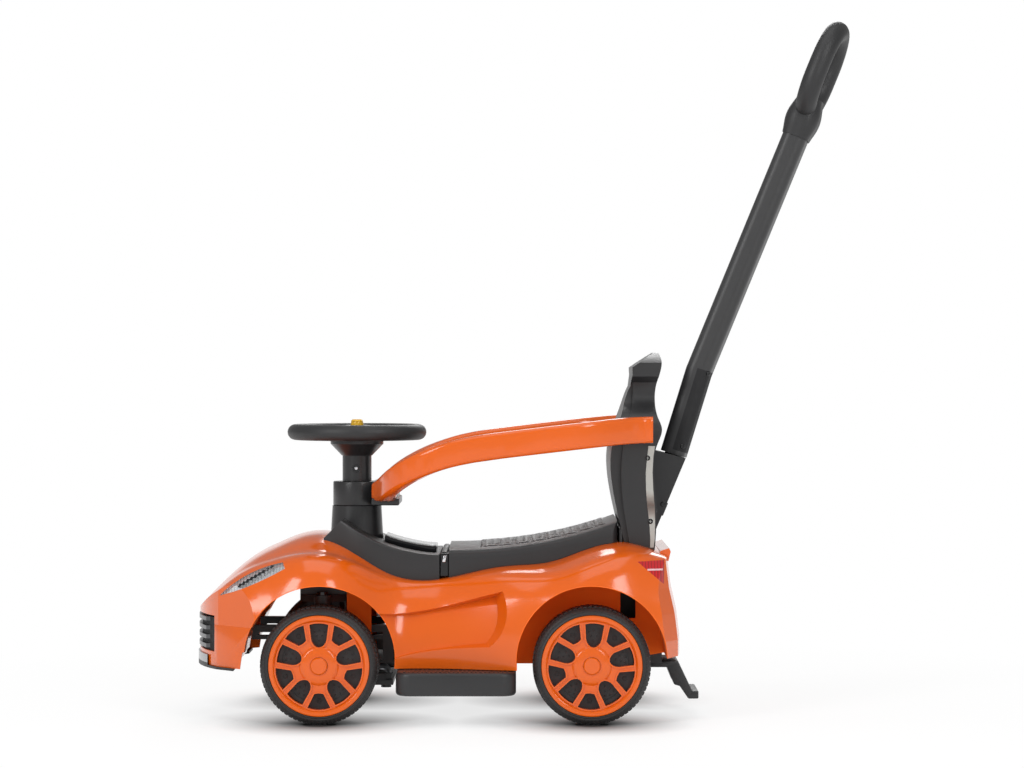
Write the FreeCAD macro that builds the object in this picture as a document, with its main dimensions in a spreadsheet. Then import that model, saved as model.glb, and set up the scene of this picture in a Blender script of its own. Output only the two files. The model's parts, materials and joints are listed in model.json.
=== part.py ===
import FreeCAD
import Part

import math
import os
from types import SimpleNamespace

import Sketcher
from FreeCAD import Placement, Rotation, Vector

# Push car with handle, in millimetres. The car faces -X, its left side is -Y and it stands on Z = 0.

SIZES = {
    # Clearances
    "seat_gap": 0.3,
    "running_gap": 0.05,
    # Wheels
    "wheel_radius": 73.0,
    "tyre_width": 50.0,
    "tyre_shoulder": 4.0,
    "shoulder_width": 6.0,
    "rim_wall": 9.0,
    "web_offset": 8.0,
    "web_thickness": 4.0,
    "wheel_hub_radius": 14.0,
    "cover_radius": 62.7,
    "cover_height": 13.0,
    "spoke_height": 9.0,
    "star_radius": 21.0,
    "star_height": 12.0,
    "cap_radius": 10.7,
    "cap_height": 15.0,
    "nut_room": 9.5,
    "petal_count": 5,
    "petal_outer": 51.5,
    "petal_half": 11.7,
    "petal_tip": 22.0,
    "window_outer": 54.0,
    "window_half": 14.5,
    "window_inner": 34.0,
    "tread_count": 36,
    "tread_depth": 1.6,
    "tread_gap": 2.6,
    # Axles
    "front_axle_x": -255.0,
    "wheelbase": 336.5,
    "track_half": 140.0,
    "axle_radius": 5.0,
    "nut_radius": 8.0,
    "nut_height": 5.0,
    "spacer_radius": 9.0,
    # Body form
    "nose_x": -416.0,
    "tail_x": 192.0,
    "dip_x": -140.0,
    "haunch_x": 123.0,
    "nose_top": 134.0,
    "hood_top": 232.0,
    "dip_top": 176.0,
    "haunch_top": 224.0,
    "tail_top": 206.0,
    "sill_z": 68.0,
    "tail_z": 82.0,
    "nose_half": 158.0,
    "fender_half": 191.0,
    "waist_half": 146.0,
    "tail_half": 166.0,
    "body_wall": 3.0,
    "arch_radius": 93.0,
    "arch_rise": 6.0,
    "well_inner": 76.0,
    "bumper_seam_z": 120.0,
    "bow_depth": 33.0,
    "door_depth": 9.0,
    "grille_half": 110.0,
    "grille_low_z": 86.0,
    "grille_high_z": 131.0,
    "grille_bar_count": 4,
    "grille_bar_height": 5.0,
    # Steering
    "steering_x": -216.0,
    "shaft_radius": 4.0,
    "crank_z": 57.0,
    "kingpin_y": 88.0,
    "kingpin_radius": 4.0,
    "arm_length": 80.0,
    "knuckle_face": 110.0,
    "carrier_half": 29.0,
    "yoke_radius": 11.0,
    "yoke_low_z": 92.0,
    "yoke_high_z": 146.0,
    "yoke_thickness": 9.0,
    "tie_rod_z": 43.0,
    "tie_rod_height": 6.0,
    "tie_pin_radius": 3.5,
    "rim_z": 358.0,
    "rim_radius": 79.0,
    "rim_tube": 10.0,
    "hub_z": 328.0,
    "hub_top_z": 346.0,
    "hub_radius": 34.0,
    "hub_cover_height": 19.0,
    "horn_radius": 8.0,
    "horn_height": 7.0,
    "horn_travel": 3.0,
    "sleeve_radius": 18.6,
    "collar_z": 264.0,
    "collar_top_z": 295.0,
    "collar_radius": 30.5,
    "column_radius": 33.4,
    "bolt_z": 312.0,
    "bolt_radius": 2.5,
    # Seat and console
    "seat_front_x": -96.0,
    "seat_rear_x": 115.0,
    "seat_half": 99.0,
    "seat_front_top": 215.0,
    "seat_rear_top": 250.0,
    "seat_wall": 3.0,
    "hinge_x": -102.0,
    "hinge_z": 204.0,
    "hinge_pin_radius": 3.0,
    "hinge_barrel": 5.5,
    "console_front_x": -254.0,
    "console_front_top": 249.0,
    "console_rear_top": 207.0,
    "console_half": 100.0,
    "box_front_x": -66.0,
    "box_rear_x": 92.0,
    "box_half": 70.0,
    "box_floor_z": 108.0,
    "box_wall": 2.5,
    "panel_height": 8.0,
    # Backrest
    "back_foot_z": 206.0,
    "back_top_z": 457.0,
    "back_front_x": 109.0,
    "back_seam_x": 121.0,
    "back_rear_x": 164.0,
    "back_half": 96.0,
    "head_half": 62.0,
    # Guard arms
    "guard_half": 142.0,
    "guard_front_z": 284.0,
    "guard_rear_z": 363.0,
    "guard_rear_x": 159.0,
    "guard_height": 33.0,
    "guard_thickness": 20.0,
    "ear_half": 52.0,
    # Push handle
    "kink_x": 223.0,
    "kink_z": 435.0,
    "foot_lean": 17.2,
    "pole_lean": 22.4,
    "pole_depth": 32.0,
    "pole_width": 40.0,
    "foot_depth": 145.0,
    "tang_length": 35.0,
    "tang_inset": 6.0,
    "pole_top_z": 742.0,
    "grip_top_z": 884.0,
    "grip_half": 60.0,
    "grip_tube": 27.0,
    "handle_twist": 12.5,
    "socket_top_z": 331.0,
    "socket_tip_z": 226.0,
    "socket_rear_x": 204.5,
    "socket_half": 30.0,
    "button_travel": 2.5,
    # Floor pieces
    "pan_thickness": 4.0,
    "footrest_front_x": -160.0,
    "footrest_rear_x": -12.0,
    "footrest_outer": 190.0,
    "footrest_depth": 62.0,
    "footrest_top_z": 64.0,
    "footrest_height": 26.0,
    "footrest_wall": 3.0,
    "footrest_groove": 2.6,
    "footrest_grooves": 24,
    "foot_bar_x": 220.0,
    "foot_bar_z": 22.0,
}

DOC = FreeCAD.newDocument("push_car")
SHEET = DOC.addObject("Spreadsheet::Sheet", "car")
PIECES = []


def fill_sheet():
    """Write every size to the sheet, one row each, and give its cell an alias."""
    for row, (alias, value) in enumerate(SIZES.items(), start=1):
        SHEET.set(f"A{row}", alias)
        SHEET.set(f"B{row}", str(value))
        SHEET.setAlias(f"B{row}", alias)
    DOC.recompute()


fill_sheet()
car = SimpleNamespace(**{alias: float(SHEET.get(alias)) for alias in SIZES})
car.rear_axle_x = car.front_axle_x + car.wheelbase
car.arch_z = car.wheel_radius + car.arch_rise
car.crank_length = car.front_axle_x + car.arm_length - car.steering_x


# Shared helpers

def keep(item, label):
    """Name a finished sub-part and list it for export."""
    item.Label = label
    PIECES.append(item)
    return item


def bind(item, expressions):
    """Bind properties of a document object to cells of the sheet."""
    for path, text in expressions.items():
        item.setExpression(path, text)
    return item


def placed(item, base, rotation=None):
    """Turn an object, then bind its position to three expressions."""
    if rotation is not None:
        item.Placement = Placement(Vector(), rotation)
    return bind(item, {f"Placement.Base.{axis}": text for axis, text in zip("xyz", base)})


def number(item, text):
    """Value of an expression on the sheet."""
    value = item.evalExpression(text)
    return float(getattr(value, "Value", value))


def new_body(name):
    return DOC.addObject("PartDesign::Body", name)


def origin_feature(body, role):
    return next(feature for feature in body.Origin.OriginFeatures if feature.Role == role)


def new_sketch(body, role, name):
    """Sketch on one of the body's own origin planes."""
    sketch = body.newObject("Sketcher::SketchObject", name)
    sketch.AttachmentSupport = (origin_feature(body, role), [""])
    sketch.MapMode = "FlatFace"
    return sketch


def outline(sketch, corners):
    """Closed outline of straight edges whose corners are pairs of expressions."""
    values = [Vector(number(sketch, u), number(sketch, v), 0) for u, v in corners]
    count = len(corners)
    first = sketch.GeometryCount
    for index, start in enumerate(values):
        sketch.addGeometry(Part.LineSegment(start, values[(index + 1) % count]))
    for index in range(count):
        after = first + (index + 1) % count
        sketch.addConstraint(Sketcher.Constraint("Coincident", first + index, 2, after, 1))
    for index, (u, v) in enumerate(corners):
        for kind, text, value in (("DistanceX", u, values[index].x), ("DistanceY", v, values[index].y)):
            constraint = sketch.addConstraint(Sketcher.Constraint(kind, -1, 1, first + index, 1, value))
            sketch.setExpression(f"Constraints[{constraint}]", text)
    return sketch


def turned(name, corners):
    """Body turned about its own Z axis from (radius, height) corners."""
    body = new_body(name)
    sketch = outline(new_sketch(body, "XZ_Plane", name + "_profile"), corners)
    turn = body.newObject("PartDesign::Revolution", name + "_turn")
    turn.Profile = sketch
    turn.ReferenceAxis = (sketch, ["V_Axis"])
    turn.Angle = 360
    DOC.recompute()
    return body


def padded(name, role, corners, length):
    """Body padded from an outline on an origin plane, to both sides alike."""
    body = new_body(name)
    sketch = outline(new_sketch(body, role, name + "_outline"), corners)
    pad = body.newObject("PartDesign::Pad", name + "_pad")
    pad.Profile = sketch
    pad.Midplane = True
    bind(pad, {"Length": length})
    DOC.recompute()
    return body


def feature(label, shape):
    """Finished sub-part from a shape that is set directly."""
    item = DOC.addObject("Part::Feature", label)
    item.Shape = shape
    return keep(item, label)


def mirrored(source, label):
    """Finished right-hand copy of a left-hand sub-part."""
    item = DOC.addObject("Part::Mirroring", label)
    item.Source = source
    item.Normal = Vector(0, 1, 0)
    return keep(item, label)


def box(x0, x1, y0, y1, z0, z1):
    return Part.makeBox(x1 - x0, y1 - y0, z1 - z0, Vector(x0, y0, z0))


def rod(radius, start, end):
    """Round bar between two points."""
    return Part.makeCylinder(radius, (end - start).Length, start, end - start)


def prism(points, direction):
    """Straight prism over a closed polygon."""
    return Part.Face(Part.makePolygon(points + points[:1])).extrude(direction)


def united(shapes):
    """One solid from touching or overlapping solids."""
    first, *others = shapes
    return first.fuse(others).removeSplitter()


def both_sides(shape):
    """A left-hand shape and its right-hand mirror image."""
    return [shape, shape.mirror(Vector(), Vector(0, 1, 0))]


def rounded_section(centre, across, up, half_across, half_up, corner):
    """Rounded rectangle of lines and arcs around a centre, in the plane of two directions."""
    def at(u, v):
        return centre + across * u + up * v

    edges = []
    inner_u, inner_v = half_across - corner, half_up - corner
    diagonal = corner * math.sqrt(0.5)
    signs = [(1, 1), (-1, 1), (-1, -1), (1, -1)]
    for index, (su, sv) in enumerate(signs):
        starts_on_side = su * sv > 0
        side = at(su * half_across, sv * inner_v)
        flat = at(su * inner_u, sv * half_up)
        middle = at(su * (inner_u + diagonal), sv * (inner_v + diagonal))
        begin, end = (side, flat) if starts_on_side else (flat, side)
        edges.append(Part.Arc(begin, middle, end).toShape())
        nu, nv = signs[(index + 1) % 4]
        following = at(nu * inner_u, nv * half_up) if nu * nv < 0 else at(nu * half_across, nv * inner_v)
        edges.append(Part.LineSegment(end, following).toShape())
    return Part.Wire(edges)


def loft(wires):
    return Part.makeLoft(wires, True, False)


def smooth_line(points):
    """Smooth curve through a few points."""
    curve = Part.BSplineCurve()
    curve.interpolate(points)
    return curve.toShape()


# Body form: smooth hoops over a flat floor, lofted from nose to tail

def eased(x, keys):
    """Value at x of a line that is level at each (x, value) key."""
    if x <= keys[0][0]:
        return keys[0][1]
    for (x0, v0), (x1, v1) in zip(keys, keys[1:]):
        if x <= x1:
            share = 0.5 - 0.5 * math.cos(math.pi * (x - x0) / (x1 - x0))
            return v0 + (v1 - v0) * share
    return keys[-1][1]


def along(nose, front, dip, rear, tail):
    """Keys of a body line at the nose, front axle, dip, rear axle and tail."""
    stations = (car.nose_x, car.front_axle_x, car.dip_x, car.rear_axle_x, car.tail_x)
    return list(zip(stations, (nose, front, dip, rear, tail)))


def top_line(x):
    """Height of the body along its middle."""
    if x < car.front_axle_x:
        share = 1 - (x - car.nose_x) / (car.front_axle_x - car.nose_x)
        return car.hood_top - (car.hood_top - car.nose_top) * share ** 2
    if x < car.dip_x:
        return eased(x, [(car.front_axle_x, car.hood_top), (car.dip_x, car.dip_top)])
    if x < car.haunch_x:
        share = (x - car.dip_x) / (car.haunch_x - car.dip_x)
        return car.dip_top + (car.haunch_top - car.dip_top) * share ** 1.25
    return eased(x, [(car.haunch_x, car.haunch_top), (car.tail_x, car.tail_top)])


def belt_line(x):
    """Half width of the body at its belt."""
    return eased(x, along(car.nose_half, car.fender_half, car.waist_half, car.fender_half, car.tail_half))


def hoop(x, inset, drop):
    """Cross-section of the body form, drawn in by the inset and with its floor dropped."""
    top = top_line(x) - inset
    low = eased(x, [(car.rear_axle_x, car.sill_z), (car.tail_x, car.tail_z)]) - drop
    belt_half = belt_line(x)
    shoulder_share = eased(x, along(0.84, 0.82, 0.80, 0.84, 0.84))
    valley_share = eased(x, along(0.67, 0.62, 0.75, 0.71, 0.72))
    crown_share = eased(x, along(0.50, 0.42, 0.70, 0.58, 0.60))
    shoulder_drop = eased(x, along(6, 18, 5, 16, 8))
    valley_drop = eased(x, along(3, 25, 2.5, 13, 4))
    belt_half -= inset
    rise = top - low
    side = [
        (belt_half - 4, low),
        (belt_half, low + 0.22 * rise),
        (belt_half, low + 0.60 * rise),
        (shoulder_share * belt_half, top - shoulder_drop),
        (valley_share * belt_half, top - valley_drop),
        (crown_share * belt_half, top),
    ]
    poles = [Vector(x, -half, height) for half, height in side]
    poles += [Vector(x, half, height) for half, height in reversed(side)]
    curve = Part.BSplineCurve()
    curve.buildFromPoles(poles, False, 3)
    floor = Part.LineSegment(poles[-1], poles[0])
    return Part.Wire([curve.toShape(), floor.toShape()])


def form_stations():
    """X positions of the hoops: close together where the body bends most."""
    spans = [
        (car.nose_x, car.front_axle_x, (-0.06, 0.08, 0.25, 0.5, 0.75)),
        (car.front_axle_x, car.dip_x, (0.0, 0.35, 0.7)),
        (car.dip_x, car.haunch_x, (0.0, 0.25, 0.5, 0.75)),
        (car.haunch_x, car.tail_x, (0.0, 0.5, 1.1)),
    ]
    return [start + (end - start) * share for start, end, shares in spans for share in shares]


def plan_prism(inset):
    """Upright prism over the car's outline from above, with a bowed nose."""
    half = 0.76 * car.nose_half - inset
    nose, tail = car.nose_x + inset, car.tail_x + 40
    side = car.fender_half + 20
    shoulder = car.nose_x + car.bow_depth + inset
    bow = Part.Arc(Vector(shoulder, -half, 0), Vector(nose, 0, 0), Vector(shoulder, half, 0))
    corners = [bow.EndPoint, Vector(shoulder + 85, side, 0), Vector(tail, side, 0),
               Vector(tail, -side, 0), Vector(shoulder + 85, -side, 0), bow.StartPoint]
    edges = [bow.toShape()]
    edges += [Part.LineSegment(a, b).toShape() for a, b in zip(corners, corners[1:])]
    return Part.Face(Part.Wire(edges)).extrude(Vector(0, 0, 2 * car.hood_top))


def stern_wire(inset, height, rake):
    """Outline from above that ends in the bowed tail, moved forward by the rake."""
    tail = car.tail_x + 4 - inset - rake
    corner, half = tail - 7, 0.80 * car.tail_half - inset
    side = car.fender_half + 30
    front = car.nose_x - 60
    bow = Part.Arc(Vector(corner, half, height), Vector(tail, 0, height), Vector(corner, -half, height))
    corners = [bow.EndPoint, Vector(corner - 45, -side, height), Vector(front, -side, height),
               Vector(front, side, height), Vector(corner - 45, side, height), bow.StartPoint]
    edges = [bow.toShape()]
    edges += [Part.LineSegment(a, b).toShape() for a, b in zip(corners, corners[1:])]
    return Part.Wire(edges)


def stern_form(inset):
    """Block whose rear end leans forward towards the top, like the tail."""
    top = car.tail_top
    rakes = ((0, 0), (0.5 * top, 0), (0.66 * top, 4), (0.81 * top, 11), (0.97 * top, 15), (2 * top, 24))
    return Part.makeLoft([stern_wire(inset, height, rake) for height, rake in rakes], True, True)


def body_form(inset, drop=0.0):
    """Solid form of the car body, drawn in on all sides but its floor."""
    wires = [hoop(x, inset, drop) for x in form_stations()]
    return loft(wires).common(plan_prism(inset)).common(stern_form(inset))


OUTER = body_form(0)


def wheel_wells(grow):
    """The four round wheel wells, from their inner walls outwards."""
    wells = []
    for axle_x in (car.front_axle_x, car.rear_axle_x):
        start = Vector(axle_x, -(car.well_inner - grow), car.arch_z)
        end = Vector(axle_x, -(car.fender_half + 20), car.arch_z)
        wells += both_sides(rod(car.arch_radius + grow, start, end))
    return wells


def headlight_prism():
    """Blade-shaped outline of the left headlight, through the fender."""
    tip = Vector(car.nose_x + 35, 0, car.nose_top + 23)
    heel = Vector(car.front_axle_x - 45, 0, car.hood_top - 32)
    upper = Part.Arc(tip, Vector(car.nose_x + 71, 0, car.hood_top - 48), heel)
    lower_heel = heel + Vector(3, 0, -7)
    lower = Part.Arc(lower_heel, Vector(car.nose_x + 79, 0, car.hood_top - 59), tip)
    edges = [upper.toShape(), Part.LineSegment(heel, lower_heel).toShape(), lower.toShape()]
    face = Part.Face(Part.Wire(edges))
    face.translate(Vector(0, -car.nose_half * 0.45, 0))
    return face.extrude(Vector(0, -car.fender_half, 0))


def tail_light_prism():
    """Wedge-shaped outline of the left tail lamp, through the rear corner."""
    y = -car.tail_half * 0.55
    corners = [
        Vector(car.tail_x - 54, y, car.tail_top - 5),
        Vector(car.tail_x - 20, y, car.tail_top - 4),
        Vector(car.tail_x - 21, y, car.tail_top - 33),
    ]
    return prism(corners, Vector(0, -car.fender_half, 0))


def door_frame(grow, y):
    """Closed outline of the left door scoop at a distance from the middle, wider further out."""
    reach = -y - (car.waist_half + 11)
    x = car.dip_x
    corners = [
        (x - 42, 138, 0.0, 0.45), (x + 114, 166, 0.55, 0.45), (x + 113, 148, 0.55, 0.30),
        (x + 108, 122, 0.50, -0.10), (x + 93, 98, 0.35, -0.30), (x - 42, 75, 0.0, -0.30)]
    margin = ((0, 1), (1, 1), (1, 0), (1, -1), (1, -1), (0, -1))
    points = []
    for (px, pz, lean_x, lean_z), (side_x, side_z) in zip(corners, margin):
        points.append(Vector(px + lean_x * reach + side_x * grow, y, pz + lean_z * reach + side_z * grow))
    edges = [Part.LineSegment(points[0], points[1]).toShape(), smooth_line(points[1:5]),
             Part.LineSegment(points[4], points[5]).toShape(), Part.LineSegment(points[5], points[0]).toShape()]
    return Part.Wire(edges)


def door_scoop(grow):
    """Left-hand scoop in the flank, deepest at its rear edge and running out forwards."""
    near, far = -car.waist_half + 36 + grow, -car.fender_half - 9
    frame = Part.makeLoft([door_frame(grow, near), door_frame(grow, far)], True, True)
    wires = []
    for step in range(9):
        x = car.dip_x - 60 + 26 * step
        share = min(max((x - car.dip_x + 30) / 150, 0), 1)
        wires.append(hoop(x, 0.3 * car.door_depth + car.door_depth * share ** 1.3 + grow, drop=40))
    return frame.cut(loft(wires))


def well_windows():
    """Openings in the inner walls of the wheel wells, seen past the wheels."""
    inner, outer = car.well_inner - 6, car.well_inner + 3
    front, rear, half = car.front_axle_x, car.rear_axle_x, car.carrier_half
    high = car.arch_z + car.arch_radius
    windows = [
        box(front - car.arch_radius - 4, front - half + 1, -outer, -inner, 0, high),
        box(front + 2.1 * half, front + car.arch_radius + 4, -outer, -inner, 0, high - 22),
        box(rear + 38, rear + 57, -outer, -inner, high - 47, high - 8)]
    return [part for window in windows for part in both_sides(window)]


def tail_lip():
    """Raised lip across the rear deck."""
    x, top = car.tail_x, car.tail_top
    profile = [(x - 25, top - 4), (x - 23, top + 5), (x - 12, top + 8.5), (x - 10, top + 4), (x - 13, top - 8)]
    half = 0.58 * car.tail_half
    return prism([Vector(px, -half, pz) for px, pz in profile], Vector(0, 2 * half, 0))


def splitter_bar():
    """Rounded bar along the lower front edge, thickest in the middle of the bow."""
    bar = plan_prism(-2).cut(plan_prism(20))
    return bar.common(box(car.nose_x - 20, car.nose_x + 17, -car.fender_half, car.fender_half,
                          car.sill_z - car.body_wall, car.grille_low_z - 5))


def make_body_shell():
    """Orange shell, split at the bumper seam, with its lamps."""
    wall = car.body_wall
    cavity = body_form(wall, drop=40).cut(wheel_wells(wall) + both_sides(door_scoop(wall)))
    shell = OUTER.fuse(tail_lip()).cut([cavity] + wheel_wells(0) + both_sides(door_scoop(0)))
    shell = shell.cut(well_windows())
    lamp_holes = both_sides(headlight_prism()) + both_sides(tail_light_prism())
    reach = car.fender_half + 20
    carrier = box(
        car.front_axle_x - car.carrier_half - 1, car.front_axle_x + car.carrier_half + 1,
        -car.well_inner - 5, car.well_inner + 5,
        0, car.arch_z + car.arch_radius + 1)
    axle = rod(
        car.axle_radius + 1,
        Vector(car.rear_axle_x, -reach, car.wheel_radius),
        Vector(car.rear_axle_x, reach, car.wheel_radius))
    column = rod(
        car.shaft_radius + 6,
        Vector(car.steering_x, 0, car.sill_z),
        Vector(car.steering_x, 0, car.hood_top + 20))
    opening = box(
        car.box_front_x, car.box_rear_x, -car.box_half, car.box_half,
        car.box_floor_z, car.hood_top + 30)
    shell = shell.cut(lamp_holes + [carrier, axle, column, opening])
    arch_front = car.front_axle_x - 0.9 * car.arch_radius
    front = box(car.nose_x - 20, arch_front, -reach, reach, 0, car.bumper_seam_z)
    grille = box(
        car.nose_x - 20, car.nose_x + car.bow_depth + 5,
        -car.grille_half, car.grille_half, car.grille_low_z, car.grille_high_z)
    heel_x = car.front_axle_x - car.arch_radius
    heel = prism([Vector(heel_x - 2, -reach, car.arch_z + 10), Vector(heel_x - 15, -reach, 0),
                  Vector(heel_x + 60, -reach, 0), Vector(heel_x + 60, -reach, car.arch_z + 10)],
                 Vector(0, 2 * reach, 0))
    shell = shell.cut([grille, heel, splitter_bar()])
    feature("body_shell", shell.cut(front))
    feature("front_bumper", shell.common(front))
    inner_face, back_face, back = body_form(wall - 1), body_form(wall), body_form(wall + 2)
    headlights = both_sides(headlight_prism())
    tail_lights = both_sides(tail_light_prism())
    for side, headlight, tail_light in zip(("left", "right"), headlights, tail_lights):
        feature(f"headlight_lens_{side}", OUTER.common(headlight).cut(inner_face))
        feature(f"tail_lens_{side}", OUTER.common(tail_light).cut(inner_face))
    feature("headlight_reflectors", Part.Compound([back_face.common(one).cut(back) for one in headlights]))


make_body_shell()


def make_front_trim():
    """Grille insert behind its opening, bright bars across it and the lip under the bumper."""
    wall = car.body_wall
    margin = 5
    frame_box = box(
        car.nose_x - 20, car.nose_x + car.bow_depth + 20,
        -car.grille_half - margin, car.grille_half + margin,
        car.grille_low_z - margin, car.grille_high_z - wall)
    insert = plan_prism(wall).cut(plan_prism(2 * wall)).common(frame_box)
    feature("grille_insert", insert.common(body_form(wall, drop=40)))
    band = plan_prism(-1).cut(plan_prism(wall))
    pitch = (car.grille_high_z - car.grille_low_z) / car.grille_bar_count
    count = int(car.grille_bar_count)
    bars = []
    for index in range(count):
        low = car.grille_low_z + (index + 0.5) * pitch - car.grille_bar_height / 2
        reach = car.grille_half - 5 * margin
        bars.append(band.common(box(
            car.nose_x - 20, car.nose_x + car.bow_depth, -reach, reach,
            low, low + car.grille_bar_height)))
    feature("grille_bars", Part.Compound(bars))
    lip = plan_prism(-2).cut(plan_prism(25))
    arch_front = car.front_axle_x - car.arch_radius
    plate = lip.common(box(
        car.nose_x - 20, arch_front - 14, -car.fender_half, car.fender_half,
        car.sill_z - wall, car.sill_z))
    feature("front_splitter", united([plate, splitter_bar()]))


# Wheels

WEB_FACE = "car.web_offset + car.web_thickness"


def pocket_through(body, name, corners):
    """Pocket right through a turned body, from an outline across its axis."""
    sketch = outline(new_sketch(body, "XY_Plane", name + "_outline"), corners)
    pocket = body.newObject("PartDesign::Pocket", name)
    pocket.Profile = sketch
    pocket.Type = "ThroughAll"
    pocket.Midplane = True
    return pocket


def patterned(body, name, originals, count):
    """Repeat features round the body's axis."""
    pattern = body.newObject("PartDesign::PolarPattern", name)
    pattern.Originals = originals
    pattern.Axis = (origin_feature(body, "Z_Axis"), [""])
    pattern.Angle = 360
    bind(pattern, {"Occurrences": count})
    body.Tip = pattern
    return pattern


def turn_point(u, v, angle):
    """Expressions of a point turned about the origin by an angle in degrees."""
    return (f"({u}) * cos({angle}) + ({v}) * sin({angle})", f"({v}) * cos({angle}) - ({u}) * sin({angle})")


def make_tyre(name):
    """Black wheel body: hub, web, rim and a tread of cross grooves."""
    bore = "car.axle_radius + car.running_gap"
    half = "car.tyre_width / 2"
    recess = "car.cover_radius + car.seat_gap"
    tyre = turned(name, [
        (bore, "-(car.track_half - car.knuckle_face - car.seat_gap)"),
        ("car.wheel_hub_radius", "-(car.track_half - car.knuckle_face - car.seat_gap)"),
        ("car.wheel_hub_radius", "car.web_offset"),
        ("car.wheel_radius - car.rim_wall", "car.web_offset"),
        ("car.wheel_radius - car.rim_wall", f"-{half}"),
        ("car.wheel_radius - car.tyre_shoulder", f"-{half}"),
        ("car.wheel_radius", f"-{half} + car.shoulder_width"),
        ("car.wheel_radius", f"{half} - car.shoulder_width"),
        ("car.wheel_radius - car.tyre_shoulder", half),
        (recess, half),
        (recess, WEB_FACE),
        (bore, WEB_FACE),
    ])
    floor = "car.wheel_radius - car.tread_depth"
    brim = "car.wheel_radius + car.tread_depth"
    gap = "car.tread_gap / 2"
    groove = pocket_through(tyre, name + "_groove", [
        (f"-{gap}", floor), (gap, floor), (gap, brim), (f"-{gap}", brim)])
    patterned(tyre, name + "_tread", [groove], "car.tread_count")
    return tyre


def make_cover(name):
    """Spoked cover: a dished disc with shield-shaped and wedge-shaped windows."""
    hole = "car.cap_radius + car.seat_gap"
    cover = turned(name, [
        (hole, WEB_FACE),
        ("car.cover_radius", WEB_FACE),
        ("car.cover_radius", f"{WEB_FACE} + car.cover_height - 2"),
        ("car.cover_radius - 2", f"{WEB_FACE} + car.cover_height"),
        ("car.cover_radius - 6", f"{WEB_FACE} + car.cover_height"),
        ("car.window_outer", f"{WEB_FACE} + car.spoke_height"),
        ("car.star_radius + 3", f"{WEB_FACE} + car.spoke_height - 1"),
        ("car.star_radius", f"{WEB_FACE} + car.star_height"),
        (hole, f"{WEB_FACE} + car.star_height"),
    ])
    waist = "car.petal_tip + (car.petal_outer - car.petal_tip) * 0.32"
    petal = pocket_through(cover, name + "_petal", [
        ("-car.petal_half", "car.petal_outer"),
        ("-car.petal_half * 0.78", waist),
        ("-car.petal_half * 0.38", "car.petal_tip + 1.5"),
        ("car.petal_half * 0.38", "car.petal_tip + 1.5"),
        ("car.petal_half * 0.78", waist),
        ("car.petal_half", "car.petal_outer"),
    ])
    step = "180 deg / car.petal_count"
    window = pocket_through(cover, name + "_window", [
        turn_point("-car.window_half", "car.window_outer", step),
        turn_point("-car.window_half * 0.36", "car.window_inner", step),
        turn_point("car.window_half * 0.36", "car.window_inner", step),
        turn_point("car.window_half", "car.window_outer", step),
    ])
    patterned(cover, name + "_windows", [petal, window], "car.petal_count")
    return cover


def make_cap(name):
    """Round cap over the axle's end, hollow for the nut."""
    room = "car.nut_radius + 2 * car.seat_gap"
    top = f"{WEB_FACE} + car.cap_height"
    return turned(name, [
        (room, WEB_FACE),
        ("car.cap_radius", WEB_FACE),
        ("car.cap_radius", f"{top} - 1.5"),
        ("car.cap_radius - 1.5", top),
        ("0", top),
        ("0", f"{WEB_FACE} + car.nut_room"),
        (room, f"{WEB_FACE} + car.nut_room"),
    ])


def make_wheels():
    """Three pieces for each of the four wheels."""
    upright = Rotation(Vector(1, 0, 0), 90)
    facing = {
        "left": ("-", upright),
        "right": ("", Rotation(Vector(0, 0, 1), 180).multiply(upright)),
    }
    axles = {"front": "car.front_axle_x", "rear": "car.front_axle_x + car.wheelbase"}
    for axle, axle_x in axles.items():
        for side, (sign, rotation) in facing.items():
            base = (axle_x, f"{sign}car.track_half", "car.wheel_radius")
            for kind, maker in (("tyre", make_tyre), ("wheel_cover", make_cover), ("centre_cap", make_cap)):
                name = f"{kind}_{axle}_{side}"
                keep(placed(maker(name), base, rotation), name)


# Axles and steering linkage

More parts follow.
